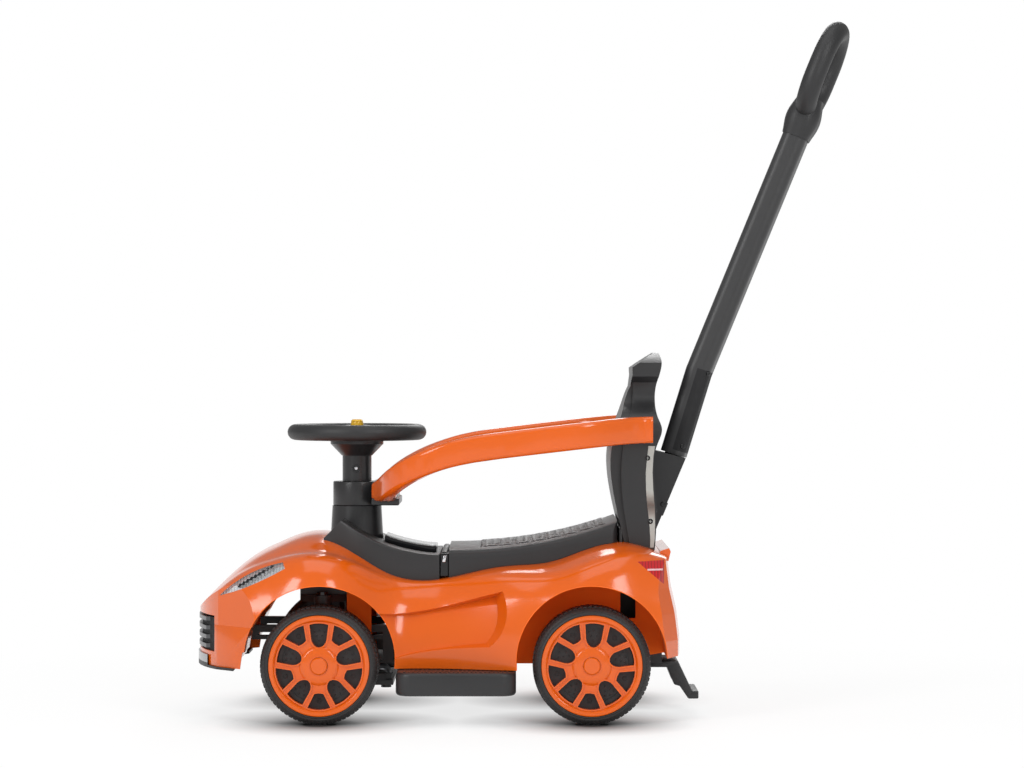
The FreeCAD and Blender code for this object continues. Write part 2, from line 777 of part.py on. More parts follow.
def make_front_axle():
    """Carrier with two yokes, kingpins, steering knuckles and their stub axles."""
    x, pin_y, half = car.front_axle_x, car.kingpin_y, car.carrier_half
    inner = car.well_inner - 4
    carrier = [box(x - 0.7 * half, x + 0.7 * half, -inner, inner,
                   car.sill_z + car.pan_thickness, car.yoke_high_z)]
    for low in (car.yoke_low_z, car.yoke_high_z):
        carrier.append(box(x - half, x + half, -inner, inner, low, low + car.yoke_thickness))
        corners = [
            Vector(x - half, -inner, low), Vector(x + half, -inner, low),
            Vector(x + car.yoke_radius, -pin_y, low), Vector(x - car.yoke_radius, -pin_y, low)]
        tongue = prism(corners, Vector(0, 0, car.yoke_thickness))
        eye = rod(car.yoke_radius, Vector(x, -pin_y, low), Vector(x, -pin_y, low + car.yoke_thickness))
        carrier += both_sides(tongue) + both_sides(eye)
    top = car.yoke_high_z + car.yoke_thickness
    floor = car.sill_z + car.pan_thickness
    rails = [
        box(x - half, x + half, -inner, -inner + 12, top - 2, car.arch_z + car.arch_radius),
        box(x - 90, x - 82, -inner, -inner + 12, 98, 116),
        box(x + 75, x + 89, -inner, -inner + 12, floor, 116)]
    for low, high in ((98, 103), (107, 116)):
        rails.append(box(x - 90, x + 89, -inner, -inner + 12, low, high))
    carrier += [part for rail in rails for part in both_sides(rail)]
    room = box(x - 0.7 * half + 4, x + 0.7 * half - 4, -inner + 12, inner - 12, 0, car.yoke_high_z)
    bore = rod(car.kingpin_radius + car.running_gap, Vector(x, -pin_y, 0), Vector(x, -pin_y, top + 20))
    feature("front_axle_carrier", united(carrier).cut([room] + both_sides(bore)))

    pin = united([
        rod(car.kingpin_radius, Vector(x, -pin_y, car.yoke_low_z - 3), Vector(x, -pin_y, top + 1)),
        rod(car.kingpin_radius + 3, Vector(x, -pin_y, top), Vector(x, -pin_y, top + 4))])
    feature("kingpins", Part.Compound(both_sides(pin)))

    left = feature("knuckle_left", knuckle_shape(bore))
    mirrored(left, "knuckle_right")
    length = "car.track_half + car.web_offset + car.web_thickness + car.seat_gap - car.knuckle_face"
    for name, sign, angle in (("stub_axle_left", "-", 90), ("stub_axle_right", "", -90)):
        stub = turned(name, [
            ("0", "-10"),
            ("car.axle_radius", "-10"),
            ("car.axle_radius", length),
            ("car.nut_radius", length),
            ("car.nut_radius", f"{length} + car.nut_height"),
            ("0", f"{length} + car.nut_height"),
        ])
        base = ("car.front_axle_x", f"{sign}car.knuckle_face", "car.wheel_radius")
        keep(placed(stub, base, Rotation(Vector(1, 0, 0), angle)), name)


def knuckle_shape(bore):
    """Left knuckle: barrel on the kingpin, leg for the stub axle, arm and pin for the tie rod."""
    x, pin_y = car.front_axle_x, car.kingpin_y
    low = car.yoke_low_z + car.yoke_thickness + car.seat_gap
    high = car.yoke_high_z - car.seat_gap
    arm_low = car.tie_rod_z + car.tie_rod_height + car.seat_gap
    arm_high = arm_low + 8
    leg_inner = pin_y + car.yoke_radius + 0.5
    leg_half = car.wheel_hub_radius
    eye_x = x + car.arm_length
    arm = prism([
        Vector(x - leg_half, -leg_inner, arm_low), Vector(x - leg_half, -car.knuckle_face, arm_low),
        Vector(x + leg_half, -car.knuckle_face, arm_low), Vector(eye_x, -pin_y - 8, arm_low),
        Vector(eye_x + 7, -pin_y, arm_low), Vector(eye_x, -pin_y + 8, arm_low),
        Vector(x + leg_half, -leg_inner, arm_low),
    ], Vector(0, 0, arm_high - arm_low))
    foot = car.tie_rod_z - car.seat_gap
    solids = [
        rod(car.yoke_radius - 1, Vector(x, -pin_y, low), Vector(x, -pin_y, high)),
        box(x - 8, x + 8, -leg_inner - 2, -pin_y, low, high - 6),
        box(x - leg_half, x + leg_half, -car.knuckle_face, -leg_inner, arm_low, high - 6),
        arm,
        rod(car.tie_pin_radius, Vector(eye_x, -pin_y, foot - 1), Vector(eye_x, -pin_y, arm_high)),
        rod(car.tie_pin_radius + 3, Vector(eye_x, -pin_y, foot - 3), Vector(eye_x, -pin_y, foot)),
    ]
    stub = rod(
        car.axle_radius + car.running_gap,
        Vector(x, -car.knuckle_face - 5, car.wheel_radius), Vector(x, -pin_y, car.wheel_radius))
    return united(solids).cut([bore, stub])


def make_tie_rod():
    """Bar under the pan with slots for the crank and both knuckle pins."""
    x = car.front_axle_x + car.arm_length
    low, high = car.tie_rod_z, car.tie_rod_z + car.tie_rod_height
    bar = box(x - 15, x + 9, -car.kingpin_y - 9, car.kingpin_y + 9, low, high)
    crank = car.shaft_radius
    slots = [box(x - 0.14 * car.crank_length - crank - 1, x + crank + 1, -crank - 1, crank + 1, low, high)]
    pin = car.tie_pin_radius + 0.6
    slot = box(x - 0.04 * car.arm_length - pin, x + pin, -car.kingpin_y - pin, -car.kingpin_y + pin, low, high)
    feature("tie_rod", bar.cut(slots + both_sides(slot)))


def make_rear_axle():
    """Plain rod with push nuts at its ends and a spacer inside each wheel."""
    wheel_face = "car.track_half + car.web_offset + car.web_thickness + car.seat_gap"
    rear_x = "car.front_axle_x + car.wheelbase"
    upright = Rotation(Vector(1, 0, 0), 90)
    axle = bind(DOC.addObject("Part::Cylinder", "rear_axle"), {
        "Radius": "car.axle_radius", "Height": f"2 * ({wheel_face} + car.nut_height)"})
    placed(axle, (rear_x, f"{wheel_face} + car.nut_height", "car.wheel_radius"), upright)
    keep(axle, "rear_axle")
    for name, outer, inner_face, width in (
            ("rear_axle_nuts", "car.nut_radius", wheel_face, "car.nut_height"),
            ("axle_spacers", "car.spacer_radius", "car.well_inner + car.seat_gap",
             "car.knuckle_face - car.well_inner - car.seat_gap")):
        rings = []
        for side, start in (("left", f"-({inner_face})"), ("right", f"{inner_face} + {width}")):
            ring = DOC.addObject("Part::Cylinder", f"{name}_{side}")
            bind(ring, {"Radius": outer, "Height": width})
            placed(ring, (rear_x, start, "car.wheel_radius"), upright)
            hole = DOC.addObject("Part::Cylinder", f"{name}_{side}_hole")
            bind(hole, {"Radius": "car.axle_radius + car.running_gap", "Height": width})
            placed(hole, (rear_x, start, "car.wheel_radius"), upright)
            cut = DOC.addObject("Part::Cut", f"{name}_{side}_ring")
            cut.Base, cut.Tool = ring, hole
            rings.append(cut)
        pair = DOC.addObject("Part::Compound", name)
        pair.Links = rings
        keep(pair, name)


def bent_rod(points, radius, bend):
    """Round bar along straight runs joined by tangent arcs."""
    edges = []
    start = points[0]
    for before, corner, after in zip(points, points[1:], points[2:]):
        arrive = (corner - before).normalize()
        leave = (after - corner).normalize()
        tangent = bend * math.tan(arrive.getAngle(leave) / 2)
        begin, end = corner - arrive * tangent, corner + leave * tangent
        inward = (leave - arrive).normalize()
        depth = math.hypot(tangent, bend) - bend
        edges.append(Part.LineSegment(start, begin).toShape())
        edges.append(Part.Arc(begin, corner + inward * depth, end).toShape())
        start = end
    edges.append(Part.LineSegment(start, points[-1]).toShape())
    circle = Part.Wire(Part.Circle(points[0], points[1] - points[0], radius).toShape())
    return Part.Wire(edges).makePipeShell([circle], True, False)


def make_steering():
    """Shaft with its crank, sleeve, cross bolt, hub, rim, hub cover and horn button."""
    x = car.steering_x
    crank_x = x + car.crank_length
    shaft = bent_rod([
        Vector(x, 0, car.hub_top_z - 2), Vector(x, 0, car.crank_z),
        Vector(crank_x, 0, car.crank_z), Vector(crank_x, 0, car.tie_rod_z - 3),
    ], car.shaft_radius, 2 * car.shaft_radius)
    hole = rod(
        car.bolt_radius + car.running_gap,
        Vector(x, -car.sleeve_radius, car.bolt_z), Vector(x, car.sleeve_radius, car.bolt_z))
    feature("steering_shaft", shaft.cut(hole))

    bore = "car.shaft_radius + car.running_gap"
    on_axis = ("car.steering_x", "0", "0")
    tube = placed(turned("sleeve_tube", [
        (bore, "car.collar_top_z + car.seat_gap"), ("car.sleeve_radius", "car.collar_top_z + car.seat_gap"),
        ("car.sleeve_radius", "car.hub_z"), (bore, "car.hub_z")]), on_axis)
    across = DOC.addObject("Part::Cylinder", "sleeve_hole")
    bind(across, {"Radius": "car.bolt_radius + car.running_gap", "Height": "2 * car.sleeve_radius + 2"})
    placed(across, ("car.steering_x", "car.sleeve_radius + 1", "car.bolt_z"), Rotation(Vector(1, 0, 0), 90))
    sleeve = DOC.addObject("Part::Cut", "steering_sleeve")
    sleeve.Base, sleeve.Tool = tube, across
    keep(sleeve, "steering_sleeve")
    bolt = turned("steering_bolt", [
        ("0", "1"), ("car.bolt_radius", "1"), ("car.bolt_radius", "2 * car.sleeve_radius"),
        ("2 * car.bolt_radius", "2 * car.sleeve_radius"),
        ("2 * car.bolt_radius", "2 * car.sleeve_radius + 2"), ("0", "2 * car.sleeve_radius + 2")])
    placed(bolt, ("car.steering_x", "car.sleeve_radius", "car.bolt_z"), Rotation(Vector(1, 0, 0), 90))
    keep(bolt, "steering_bolt")

    hub = turned("steering_hub", [
        (bore, "car.hub_z"), ("car.sleeve_radius + 1", "car.hub_z"), ("car.hub_radius", "car.hub_top_z - 3"),
        ("car.hub_radius", "car.hub_top_z"), (bore, "car.hub_top_z")])
    keep(placed(hub, on_axis), "steering_hub")

    feature("steering_rim", rim_shape())
    seat = "car.hub_top_z + car.rim_tube * 0.6"
    top = f"{seat} + car.hub_cover_height - 4"
    well = "car.horn_radius + car.seat_gap"
    cover = turned("steering_hub_cover", [
        ("0", seat), ("car.hub_radius", seat), ("car.hub_radius", f"{seat} + 5"),
        ("car.hub_radius - 9", f"{top} - 1"), (f"{well} + 3", top), (well, top),
        (well, f"{top} - 9"), ("0", f"{top} - 9")])
    keep(placed(cover, on_axis), "steering_hub_cover")
    foot = f"{top} - 9 + car.horn_travel + car.seat_gap"
    head = f"{top} + car.horn_height"
    horn = turned("horn_button", [
        ("0", foot), ("car.horn_radius", foot), ("car.horn_radius", f"{head} - 2"),
        ("car.horn_radius - 2", head), ("0", head)])
    keep(placed(horn, on_axis), "horn_button")


def rim_shape():
    """Steering wheel ring with three spokes and a centre plate."""
    x, tube = car.steering_x, car.rim_tube
    ring = Part.makeTorus(car.rim_radius, tube, Vector(x, 0, car.rim_z))
    low, high = car.hub_top_z, car.hub_top_z + 0.6 * tube
    plate = rod(car.hub_radius, Vector(x, 0, low), Vector(x, 0, high))
    solids = [ring, plate]
    for angle in (0, 115, -115):
        turn = Rotation(Vector(0, 0, 1), angle)
        out = turn.multVec(Vector(1, 0, 0))
        across = turn.multVec(Vector(0, 1, 0))
        root = rounded_section(
            Vector(x, 0, low + 0.3 * tube) + out * 0.7 * car.hub_radius, across, Vector(0, 0, 1),
            1.6 * tube, 0.3 * tube, 0.25 * tube)
        tip = rounded_section(
            Vector(x, 0, car.rim_z) + out * car.rim_radius, across, Vector(0, 0, 1),
            1.2 * tube, 0.5 * tube, 0.25 * tube)
        solids.append(loft([root, tip]))
    cover_room = rod(car.hub_radius + car.seat_gap, Vector(x, 0, high), Vector(x, 0, high + 2 * tube))
    return united(solids).cut(cover_room)


# Console, seat and storage box

def console_section(x, grow):
    """Cross-section of the console fairing."""
    front, rear = car.console_front_x, car.hinge_x - car.hinge_barrel - 0.5
    fall = min(max((rear - x) / (rear - front - 23), 0), 1.1)
    top = car.console_rear_top + (car.console_front_top - car.console_rear_top) * fall ** 2 + grow
    half = eased(x, [(front, 0.82 * car.console_half), (front + 45, 1.01 * car.console_half),
                     (rear, car.seat_half)])
    low = car.dip_top - 20
    side = [(half - 2, low), (half, 0.5 * top + 0.5 * low), (half, top - 3), (half - 1, top - 0.5),
            (half - 8, top), (0.5 * half, top - 1)]
    poles = [Vector(x, -across, height) for across, height in side]
    poles += [Vector(x, across, height) for across, height in reversed(side)]
    curve = Part.BSplineCurve()
    curve.buildFromPoles(poles, False, 3)
    return Part.Wire([curve.toShape(), Part.LineSegment(poles[-1], poles[0]).toShape()])


def console_form(grow):
    front, rear = car.console_front_x, car.hinge_x - car.hinge_barrel - 0.5
    shares = (0.0, 0.15, 0.35, 0.6, 0.8, 1.0)
    return loft([console_section(front + (rear - front) * share, grow) for share in shares])


def hinge_rod(radius, y0, y1):
    return rod(radius, Vector(car.hinge_x, y0, car.hinge_z), Vector(car.hinge_x, y1, car.hinge_z))


def make_console():
    """Fairing between hood and seat, its switch panel, the column base and the guard collar."""
    x = car.steering_x
    barrel = car.hinge_barrel
    rear = car.hinge_x - barrel - 0.5
    lug_half = 0.36 * car.seat_half
    reach = 1.5 * car.console_half
    lug = united([
        hinge_rod(barrel, -lug_half, lug_half),
        box(rear - 6, car.hinge_x, -lug_half, lug_half, car.hinge_z - barrel, car.hinge_z)])
    hollow = console_form(-3).common(box(x + 20, rear - 4, -0.8 * car.console_half, 0.8 * car.console_half,
                                         0, car.console_front_top))
    bore = rod(car.shaft_radius + 6, Vector(x, 0, car.dip_top), Vector(x, 0, car.collar_z))
    slope = prism([Vector(car.console_front_x - 30, -reach, car.console_front_top - 53),
                   Vector(car.console_front_x + 40, -reach, car.console_front_top + 17),
                   Vector(car.console_front_x - 30, -reach, car.console_front_top + 17)],
                  Vector(0, 2 * reach, 0))
    fairing = console_form(0).cut(slope)
    solid = fairing.fuse(lug).cut([OUTER, hollow, bore])
    console = solid.cut(hinge_rod(car.hinge_pin_radius + car.running_gap, -car.seat_half, car.seat_half))
    feature("console", console)

    reach = 0.42 * car.console_half
    window = box(x + car.column_radius + 4, rear - 5, -reach, reach, car.dip_top + 10, car.hood_top + 20)
    feature("console_panel", console_form(car.panel_height).common(window).cut(console_form(0)))

    shaft_bore = rod(car.shaft_radius + car.running_gap, Vector(x, 0, 0), Vector(x, 0, 2 * car.rim_z))
    cone = Part.makeCone(
        car.column_radius + 3, car.column_radius - 2, car.collar_z - car.dip_top,
        Vector(x, 0, car.dip_top))
    feature("column_base", cone.cut([fairing, OUTER, shaft_bore, bore.common(fairing)]))

    ear_low, ear_high = car.guard_front_z - 14, car.guard_front_z + 11
    collar = united([
        rod(car.collar_radius, Vector(x, 0, car.collar_z), Vector(x, 0, car.collar_top_z)),
        box(x + 21, x + 53, -car.ear_half, car.ear_half, ear_low, ear_high),
        box(x + 21, x + 56, -car.ear_half - 4, car.ear_half + 4, ear_low - 4, ear_low + 5)])
    feature("guard_collar", collar.cut(shaft_bore))
    return collar


def seat_section(x, inset):
    """Cross-section of the seat lid, slightly crowned."""
    span = car.seat_rear_x - car.seat_front_x
    share = max(0.0, (x - car.seat_front_x) / span)
    top = car.seat_front_top + (car.seat_rear_top - car.seat_front_top) * share ** 2.2 - inset
    half = car.seat_half - inset
    low = car.dip_top - 20
    side = [(half, low), (half, 0.7 * top + 0.3 * low), (half, top - 6), (0.88 * half, top - 1), (0.45 * half, top)]
    poles = [Vector(x, -across, height) for across, height in side]
    poles += [Vector(x, across, height) for across, height in reversed(side)]
    curve = Part.BSplineCurve()
    curve.buildFromPoles(poles, False, 3)
    return Part.Wire([curve.toShape(), Part.LineSegment(poles[-1], poles[0]).toShape()])


def seat_form(inset):
    """Solid form of the lid, with rounded rear corners in plan."""
    front, rear = car.seat_front_x + inset, car.seat_rear_x - inset
    reach = rear - front
    middle = Vector(front, 0, 0)
    half = car.seat_half - inset
    plan = rounded_section(middle, Vector(1, 0, 0), Vector(0, 1, 0), reach, half + 4, 0.18 * half)
    upright = Part.Face(plan).extrude(Vector(0, 0, 2 * car.seat_rear_top))
    upright = upright.common(box(front, rear + 1, -half - 9, half + 9, 0, 2 * car.seat_rear_top))
    shares = (-0.05, 0.2, 0.4, 0.6, 0.8, 1.05)
    return loft([seat_section(front + reach * share, inset) for share in shares]).common(upright)


def make_seat():
    """Seat lid with its hinge barrels, the hinge pin and the storage box under the lid."""
    barrel = car.hinge_barrel
    inner, outer = 0.36 * car.seat_half + car.seat_gap, 0.9 * car.seat_half
    shell = seat_form(0).cut(seat_form(car.seat_wall).common(
        box(car.seat_front_x, car.seat_rear_x, -car.seat_half, car.seat_half,
            0, 2 * car.seat_rear_top)))
    web = box(car.hinge_x, car.seat_front_x + 1, -outer, -inner, car.hinge_z - barrel, car.hinge_z + 3)
    skirt = box(car.hinge_x - 4.5, car.seat_front_x + 1, -outer, -inner, car.hinge_z - 19, car.hinge_z - 2)
    knuckles = both_sides(united([hinge_rod(barrel, -outer, -inner), web, skirt]))
    solid = shell.fuse(knuckles).cut([
        body_form(-car.seat_gap),
        hinge_rod(car.hinge_pin_radius + car.running_gap, -car.seat_half, car.seat_half)])
    feature("seat_lid", solid)
    reach = 0.92
    pin = bind(DOC.addObject("Part::Cylinder", "seat_hinge_pin"), {
        "Radius": "car.hinge_pin_radius", "Height": f"2 * {reach} * car.seat_half"})
    placed(pin, ("car.hinge_x", f"{reach} * car.seat_half", "car.hinge_z"), Rotation(Vector(1, 0, 0), 90))
    keep(pin, "seat_hinge_pin")

    wall = car.box_wall
    tub = box(car.box_front_x, car.box_rear_x, -car.box_half, car.box_half,
              car.box_floor_z, car.haunch_top + 20).common(OUTER)
    inside = box(
        car.box_front_x + wall, car.box_rear_x - wall, -car.box_half + wall, car.box_half - wall,
        car.box_floor_z + wall, car.haunch_top + 20)
    feature("storage_box", tub.cut(inside))


# Backrest, guard arms and push handle

def side_prism(front_points, rear_points, half):
    """Prism across the car over a side profile given by its front and rear lines, foot to head."""
    front = [Vector(x, -half, z) for x, z in front_points]
    rear = [Vector(x, -half, z) for x, z in rear_points]
    edges = [
        smooth_line(front),
        Part.LineSegment(front[-1], rear[-1]).toShape(),
        smooth_line(rear[::-1]),
        Part.LineSegment(rear[0], front[0]).toShape(),
    ]
    return Part.Face(Part.Wire(edges)).extrude(Vector(0, 2 * half, 0))


def back_outline(inset):
    """Prism along the car over the backrest's front outline: broad back, narrow neck, wider head."""
    half, head = car.back_half - inset, car.head_half - inset
    foot, top = car.back_foot_z - 40, car.back_top_z + 3 - inset
    rise = car.back_top_z - car.back_foot_z

    def at(across, share):
        return Vector(0, -across, car.back_foot_z + share * rise)

    neck = 0.84 * head
    side = [Vector(0, -0.92 * half, foot), at(0.99 * half, 0.22), at(half, 0.45), at(0.99 * half, 0.64),
            at(0.86 * half, 0.70), at(neck + 3, 0.76), at(neck, 0.86)]
    temple = [at(neck, 0.86), at(head, 0.89), at(head, 0.96)]
    mirror = [Vector(0, -point.y, point.z) for point in side]
    far_temple = [Vector(0, -point.y, point.z) for point in temple]
    crown = Part.Arc(temple[-1], Vector(0, 0, top), far_temple[-1]).toShape()
    edges = [smooth_line(side)]
    edges += [Part.LineSegment(a, b).toShape() for a, b in zip(temple, temple[1:])]
    edges.append(crown)
    edges += [Part.LineSegment(a, b).toShape() for a, b in zip(far_temple[::-1], far_temple[-2::-1])]
    edges += [smooth_line(mirror[::-1]), Part.LineSegment(mirror[0], side[0]).toShape()]
    return Part.Face(Part.Wire(edges)).extrude(Vector(2 * car.kink_x, 0, 0))


def back_lines():
    """Front, seam and rear lines of the backrest's side profile, foot to head."""
    front, seam, rear = car.back_front_x, car.back_seam_x, car.back_rear_x
    foot, top = car.back_foot_z - 10, car.back_top_z
    rise = top - car.back_foot_z

    def up(share):
        return car.back_foot_z + share * rise

    front_line = [(front + 19, foot), (front + 7.5, up(0.19)), (front - 1, up(0.37)), (front - 2, up(0.50)),
                  (front + 4, up(0.61)), (front + 12, up(0.70)), (front + 17, up(0.77)), (front + 24, up(0.84))]
    seam_line = [(seam + 14, foot), (seam + 4, up(0.18)), (seam - 1, up(0.44)), (seam + 2, up(0.55)),
                 (seam + 11, up(0.70)), (seam + 15, up(0.80)), (seam + 14.5, up(0.90)), (seam + 15, up(1.01))]
    rear_line = [(rear - 4, foot), (rear, up(0.16)), (rear - 0.5, up(0.27)), (rear - 3.5, up(0.42)),
                 (rear + 1, up(0.55)), (rear + 7, up(0.63)), (rear + 2, up(0.69)), (rear, up(0.75)),
                 (rear + 2, up(0.85)), (rear + 8, up(0.94)), (rear + 6, up(1.01))]
    return front_line, seam_line, rear_line


def head_slope():
    """Block over the head that leaves its top sloping down to the front."""
    seam, top, half = car.back_seam_x, car.back_top_z, car.back_half
    points = [(seam - 14, top - 35.5), (seam + 16, top - 15), (seam + 41, top + 2), (seam + 41, top + 30),
              (seam - 14, top + 30)]
    return prism([Vector(x, -half, z) for x, z in points], Vector(0, 2 * half, 0))


def make_backrest():
    """Padded front shell and hollow rear shell, standing on the rear deck."""
    front_line, seam_line, rear_line = back_lines()
    half = car.back_half + 5
    wall = car.body_wall
    pad = side_prism(front_line, seam_line[:-1], half).common(back_outline(6))
    shell = side_prism(seam_line, rear_line, half).common(back_outline(0))
    inner_rear = [(x - wall, z) for x, z in rear_line]
    inner_seam = [(x - 1, z) for x, z in seam_line]
    room = side_prism(inner_seam, inner_rear, half).common(back_outline(wall + 4))
    room = room.common(box(0, 2 * car.kink_x, -half, half, car.back_foot_z + 20, car.back_top_z - 34))
    feature("backrest_rear_shell", shell.cut([room, OUTER, head_slope()]))
    feature("backrest_front_shell", pad.cut([shell, OUTER, body_form(-car.seat_gap)]))
    return shell


def guard_points():
    """Centre line of the left guard arm, from its ear on the collar to the backrest."""
    start_x = car.steering_x + 37
    bend = 82
    ear, half = car.ear_half, car.guard_half
    low, shoulder_z, high = car.guard_front_z, car.guard_rear_z - 31, car.guard_rear_z
    points = []
    for degrees, climb in ((0, 0.0), (30, 0.25), (60, 0.66), (90, 1.0)):
        angle = math.radians(degrees)
        points.append(Vector(
            start_x + bend * (1 - math.cos(angle)),
            -ear - (half - ear) * math.sin(angle),
            low + (shoulder_z - low) * climb))
    rear_half = car.back_half + car.guard_thickness / 2 + car.seat_gap
    points.append(Vector(-0.30 * bend, -half - 2, shoulder_z + 0.42 * (high - shoulder_z)))
    points.append(Vector(0.6 * car.guard_rear_x, -half + 6, high - 4))
    points.append(Vector(car.guard_rear_x - 18, -rear_half - 1, high - 0.5))
    points.append(Vector(car.guard_rear_x, -rear_half, high))
    return points


def make_guards(collar):
    """Curved guard arms, lofted through upright rounded sections and seated on the collar's tray."""
    points = guard_points()
    wires = []
    for index, point in enumerate(points):
        before = points[max(index - 1, 0)]
        after = points[min(index + 1, len(points) - 1)]
        heading = after - before
        heading.z = 0
        if index == 0:
            heading = Vector(0, -1, 0)
        if index == len(points) - 1:
            heading = Vector(1, 0, 0)
        heading.normalize()
        across = Vector(0, 0, 1).cross(heading)
        half_up = 0.38 * car.guard_height if index == 0 else 0.5 * car.guard_height
        half_across = 0.8 * car.guard_thickness if index == 0 else 0.5 * car.guard_thickness
        wires.append(rounded_section(
            point, across, Vector(0, 0, 1), half_across, half_up, 0.32 * car.guard_thickness))
    arm = feature("guard_left", loft(wires).cut([back_outline(-car.seat_gap), collar]))
    mirrored(arm, "guard_right")


def pole_axes():
    """Directions along the pole's foot and its upper length, both leaning back."""
    foot, pole = math.radians(car.foot_lean), math.radians(car.pole_lean)
    return (Vector(math.sin(foot), 0, math.cos(foot)), Vector(math.sin(pole), 0, math.cos(pole)))


def pole_frame(axis):
    """Depth and width directions across the pole, turned by the handle's twist."""
    turn = Rotation(axis, -car.handle_twist)
    width = turn.multVec(Vector(0, 1, 0))
    return width.cross(axis).normalize(), width


def pole_section(point, axis, grow):
    depth, width = pole_frame(axis)
    return rounded_section(
        point, depth, width, car.pole_depth / 2 + grow, car.pole_width / 2 + grow,
        0.36 * car.pole_depth + grow)


def make_handle(back_shell):
    """Pole with a kinked foot, half cover, grip loop, socket on the backrest and release button."""
    foot_axis, pole_axis = pole_axes()
    kink = Vector(car.kink_x, 0, car.kink_z)
    foot = kink - foot_axis * car.foot_depth
    top = kink + pole_axis * ((car.pole_top_z - car.kink_z) / pole_axis.z)
    bisector = (foot_axis + pole_axis).normalize()
    brink = foot + foot_axis * car.tang_length

    def sleeve(grow, low):
        return Part.makeLoft([
            pole_section(low, foot_axis, grow), pole_section(kink, bisector, grow),
            pole_section(top, pole_axis, grow)], True, True)

    def tang(grow):
        inset = grow - car.tang_inset
        return Part.makeLoft([
            pole_section(foot - foot_axis * grow, foot_axis, inset),
            pole_section(brink + foot_axis, foot_axis, inset)], True, True)

    solid = sleeve(0, brink)
    pole = solid.cut(sleeve(-car.body_wall, brink + foot_axis * 4)).fuse(tang(0))
    depth, width = pole_frame(foot_axis)
    cover_low = kink - foot_axis * (0.72 * car.foot_depth)
    cover_high = kink + foot_axis * 4
    reach = car.pole_width
    corners = [cover_low + width * reach, cover_low - width * reach, cover_high - width * reach,
               cover_high + width * reach]
    behind = prism(corners, depth * reach)
    if behind.CenterOfMass.x < kink.x - foot_axis.x * 0.36 * car.foot_depth:
        behind = prism(corners, depth * -reach)
    feature("pole_cover", pole.common(behind))
    feature("handle_pole", pole.cut(behind))
    feature("handle_grip", grip_shape(top, pole_axis).cut(solid))

    tip = Vector(car.back_rear_x - 1, 0, car.socket_tip_z)
    brim = Vector(car.socket_rear_x, 0, car.socket_top_z - 6)
    half = car.socket_half
    side = [Vector(tip.x - 12, -half, tip.z), Vector(tip.x, -half, tip.z), Vector(brim.x, -half, brim.z),
            Vector(tip.x - 12, -half, car.socket_top_z + 8)]
    wedge = prism(side, Vector(0, 2 * half, 0))
    slope = (brim - tip).normalize()
    out = Vector(slope.z, 0, -slope.x)
    middle = tip + (brim - tip) * 0.34
    gap = car.seat_gap
    above = Part.makeLoft([
        pole_section(brink - foot_axis * gap, foot_axis, gap), pole_section(kink, foot_axis, gap)], True, True)
    room = tang(gap).fuse(above)
    pocket = button_shape(middle, slope, out, 7 + car.button_travel, 0, car.seat_gap)
    feature("handle_socket", wedge.cut([back_shell, room, pocket]))
    feature("release_button", button_shape(middle, slope, out, 6.5, 3, 0))


def button_shape(middle, slope, out, below, above, grow):
    """Oval button or its pocket, standing on the sloping rear face of the socket."""
    half = 5 + grow
    section = rounded_section(middle - out * below, slope, Vector(0, 1, 0), 9 + grow, half, 0.98 * half)
    return Part.Face(section).extrude(out * (below + above))


def grip_shape(base, axis):
    """Swelling collar on the pole's top and a closed loop above it."""
    depth, width = pole_frame(axis)
    tube = car.grip_tube / 2
    reach = car.grip_half - tube
    height = (car.grip_top_z - car.pole_top_z - tube) / axis.z + tube
    low, high = tube + reach + 16, height - tube - reach
    across = [base + axis * low - width * reach, base + axis * high - width * reach,
              base + axis * (high + reach), base + axis * high + width * reach,
              base + axis * low + width * reach, base + axis * (low - reach)]
    edges = [
        Part.LineSegment(across[0], across[1]).toShape(),
        Part.Arc(across[1], across[2], across[3]).toShape(),
        Part.LineSegment(across[3], across[4]).toShape(),
        Part.Arc(across[4], across[5], across[0]).toShape(),
    ]
    circle = Part.Wire(Part.Circle(across[0], axis, tube).toShape())
    loop = Part.Wire(edges).makePipeShell([circle], True, False)
    swell = []
    for share, grow in ((-0.04, 1.5), (0.04, 4.0), (0.11, 5.5), (0.20, 4.0), (0.31, 0.5)):
        swell.append(pole_section(base + axis * (share * height), axis, grow))
    return united([loop, loft(swell)])


# Chassis pan, footrests and anti-tip bracket

def make_pan():
    """Floor pan between the wheels, with axle bearings, shaft bush and rear box."""
    low, high = car.sill_z, car.sill_z + car.pan_thickness
    inner = car.well_inner - car.body_wall - car.seat_gap
    arch = car.arch_radius + car.body_wall + car.seat_gap
    wide = car.fender_half
    slab = united([
        box(car.nose_x + 85, car.tail_x - 20, -inner, inner, low, high),
        box(car.front_axle_x + arch, car.rear_axle_x - arch, -wide, wide, low, high)])
    slab = slab.common(body_form(car.body_wall + car.seat_gap, drop=40))
    axle_x, axle_z = car.rear_axle_x, car.wheel_radius
    bearing = box(axle_x - 14, axle_x + 14, -inner, -inner + 12, low, axle_z + 12)
    bush = rod(car.shaft_radius + 6, Vector(car.steering_x, 0, low), Vector(car.steering_x, 0, high + 16))
    chest = box(car.tail_x - 48, car.tail_x - 20, -inner, inner, high, high + 32).cut(
        box(car.tail_x - 45, car.tail_x - 23, -inner + 3, inner - 3, high, high + 29))
    bulkhead = box(car.tail_x - 80, car.tail_x - 46, -2, 2, low, car.haunch_top - 55)
    pan = united([slab, bush, chest, bulkhead] + both_sides(bearing))
    gap = car.running_gap
    axle = rod(car.axle_radius + gap, Vector(axle_x, -wide, axle_z), Vector(axle_x, wide, axle_z))
    shaft = rod(car.shaft_radius + gap, Vector(car.steering_x, 0, 0), Vector(car.steering_x, 0, car.hood_top))
    feature("chassis_pan", pan.cut([axle, shaft]))


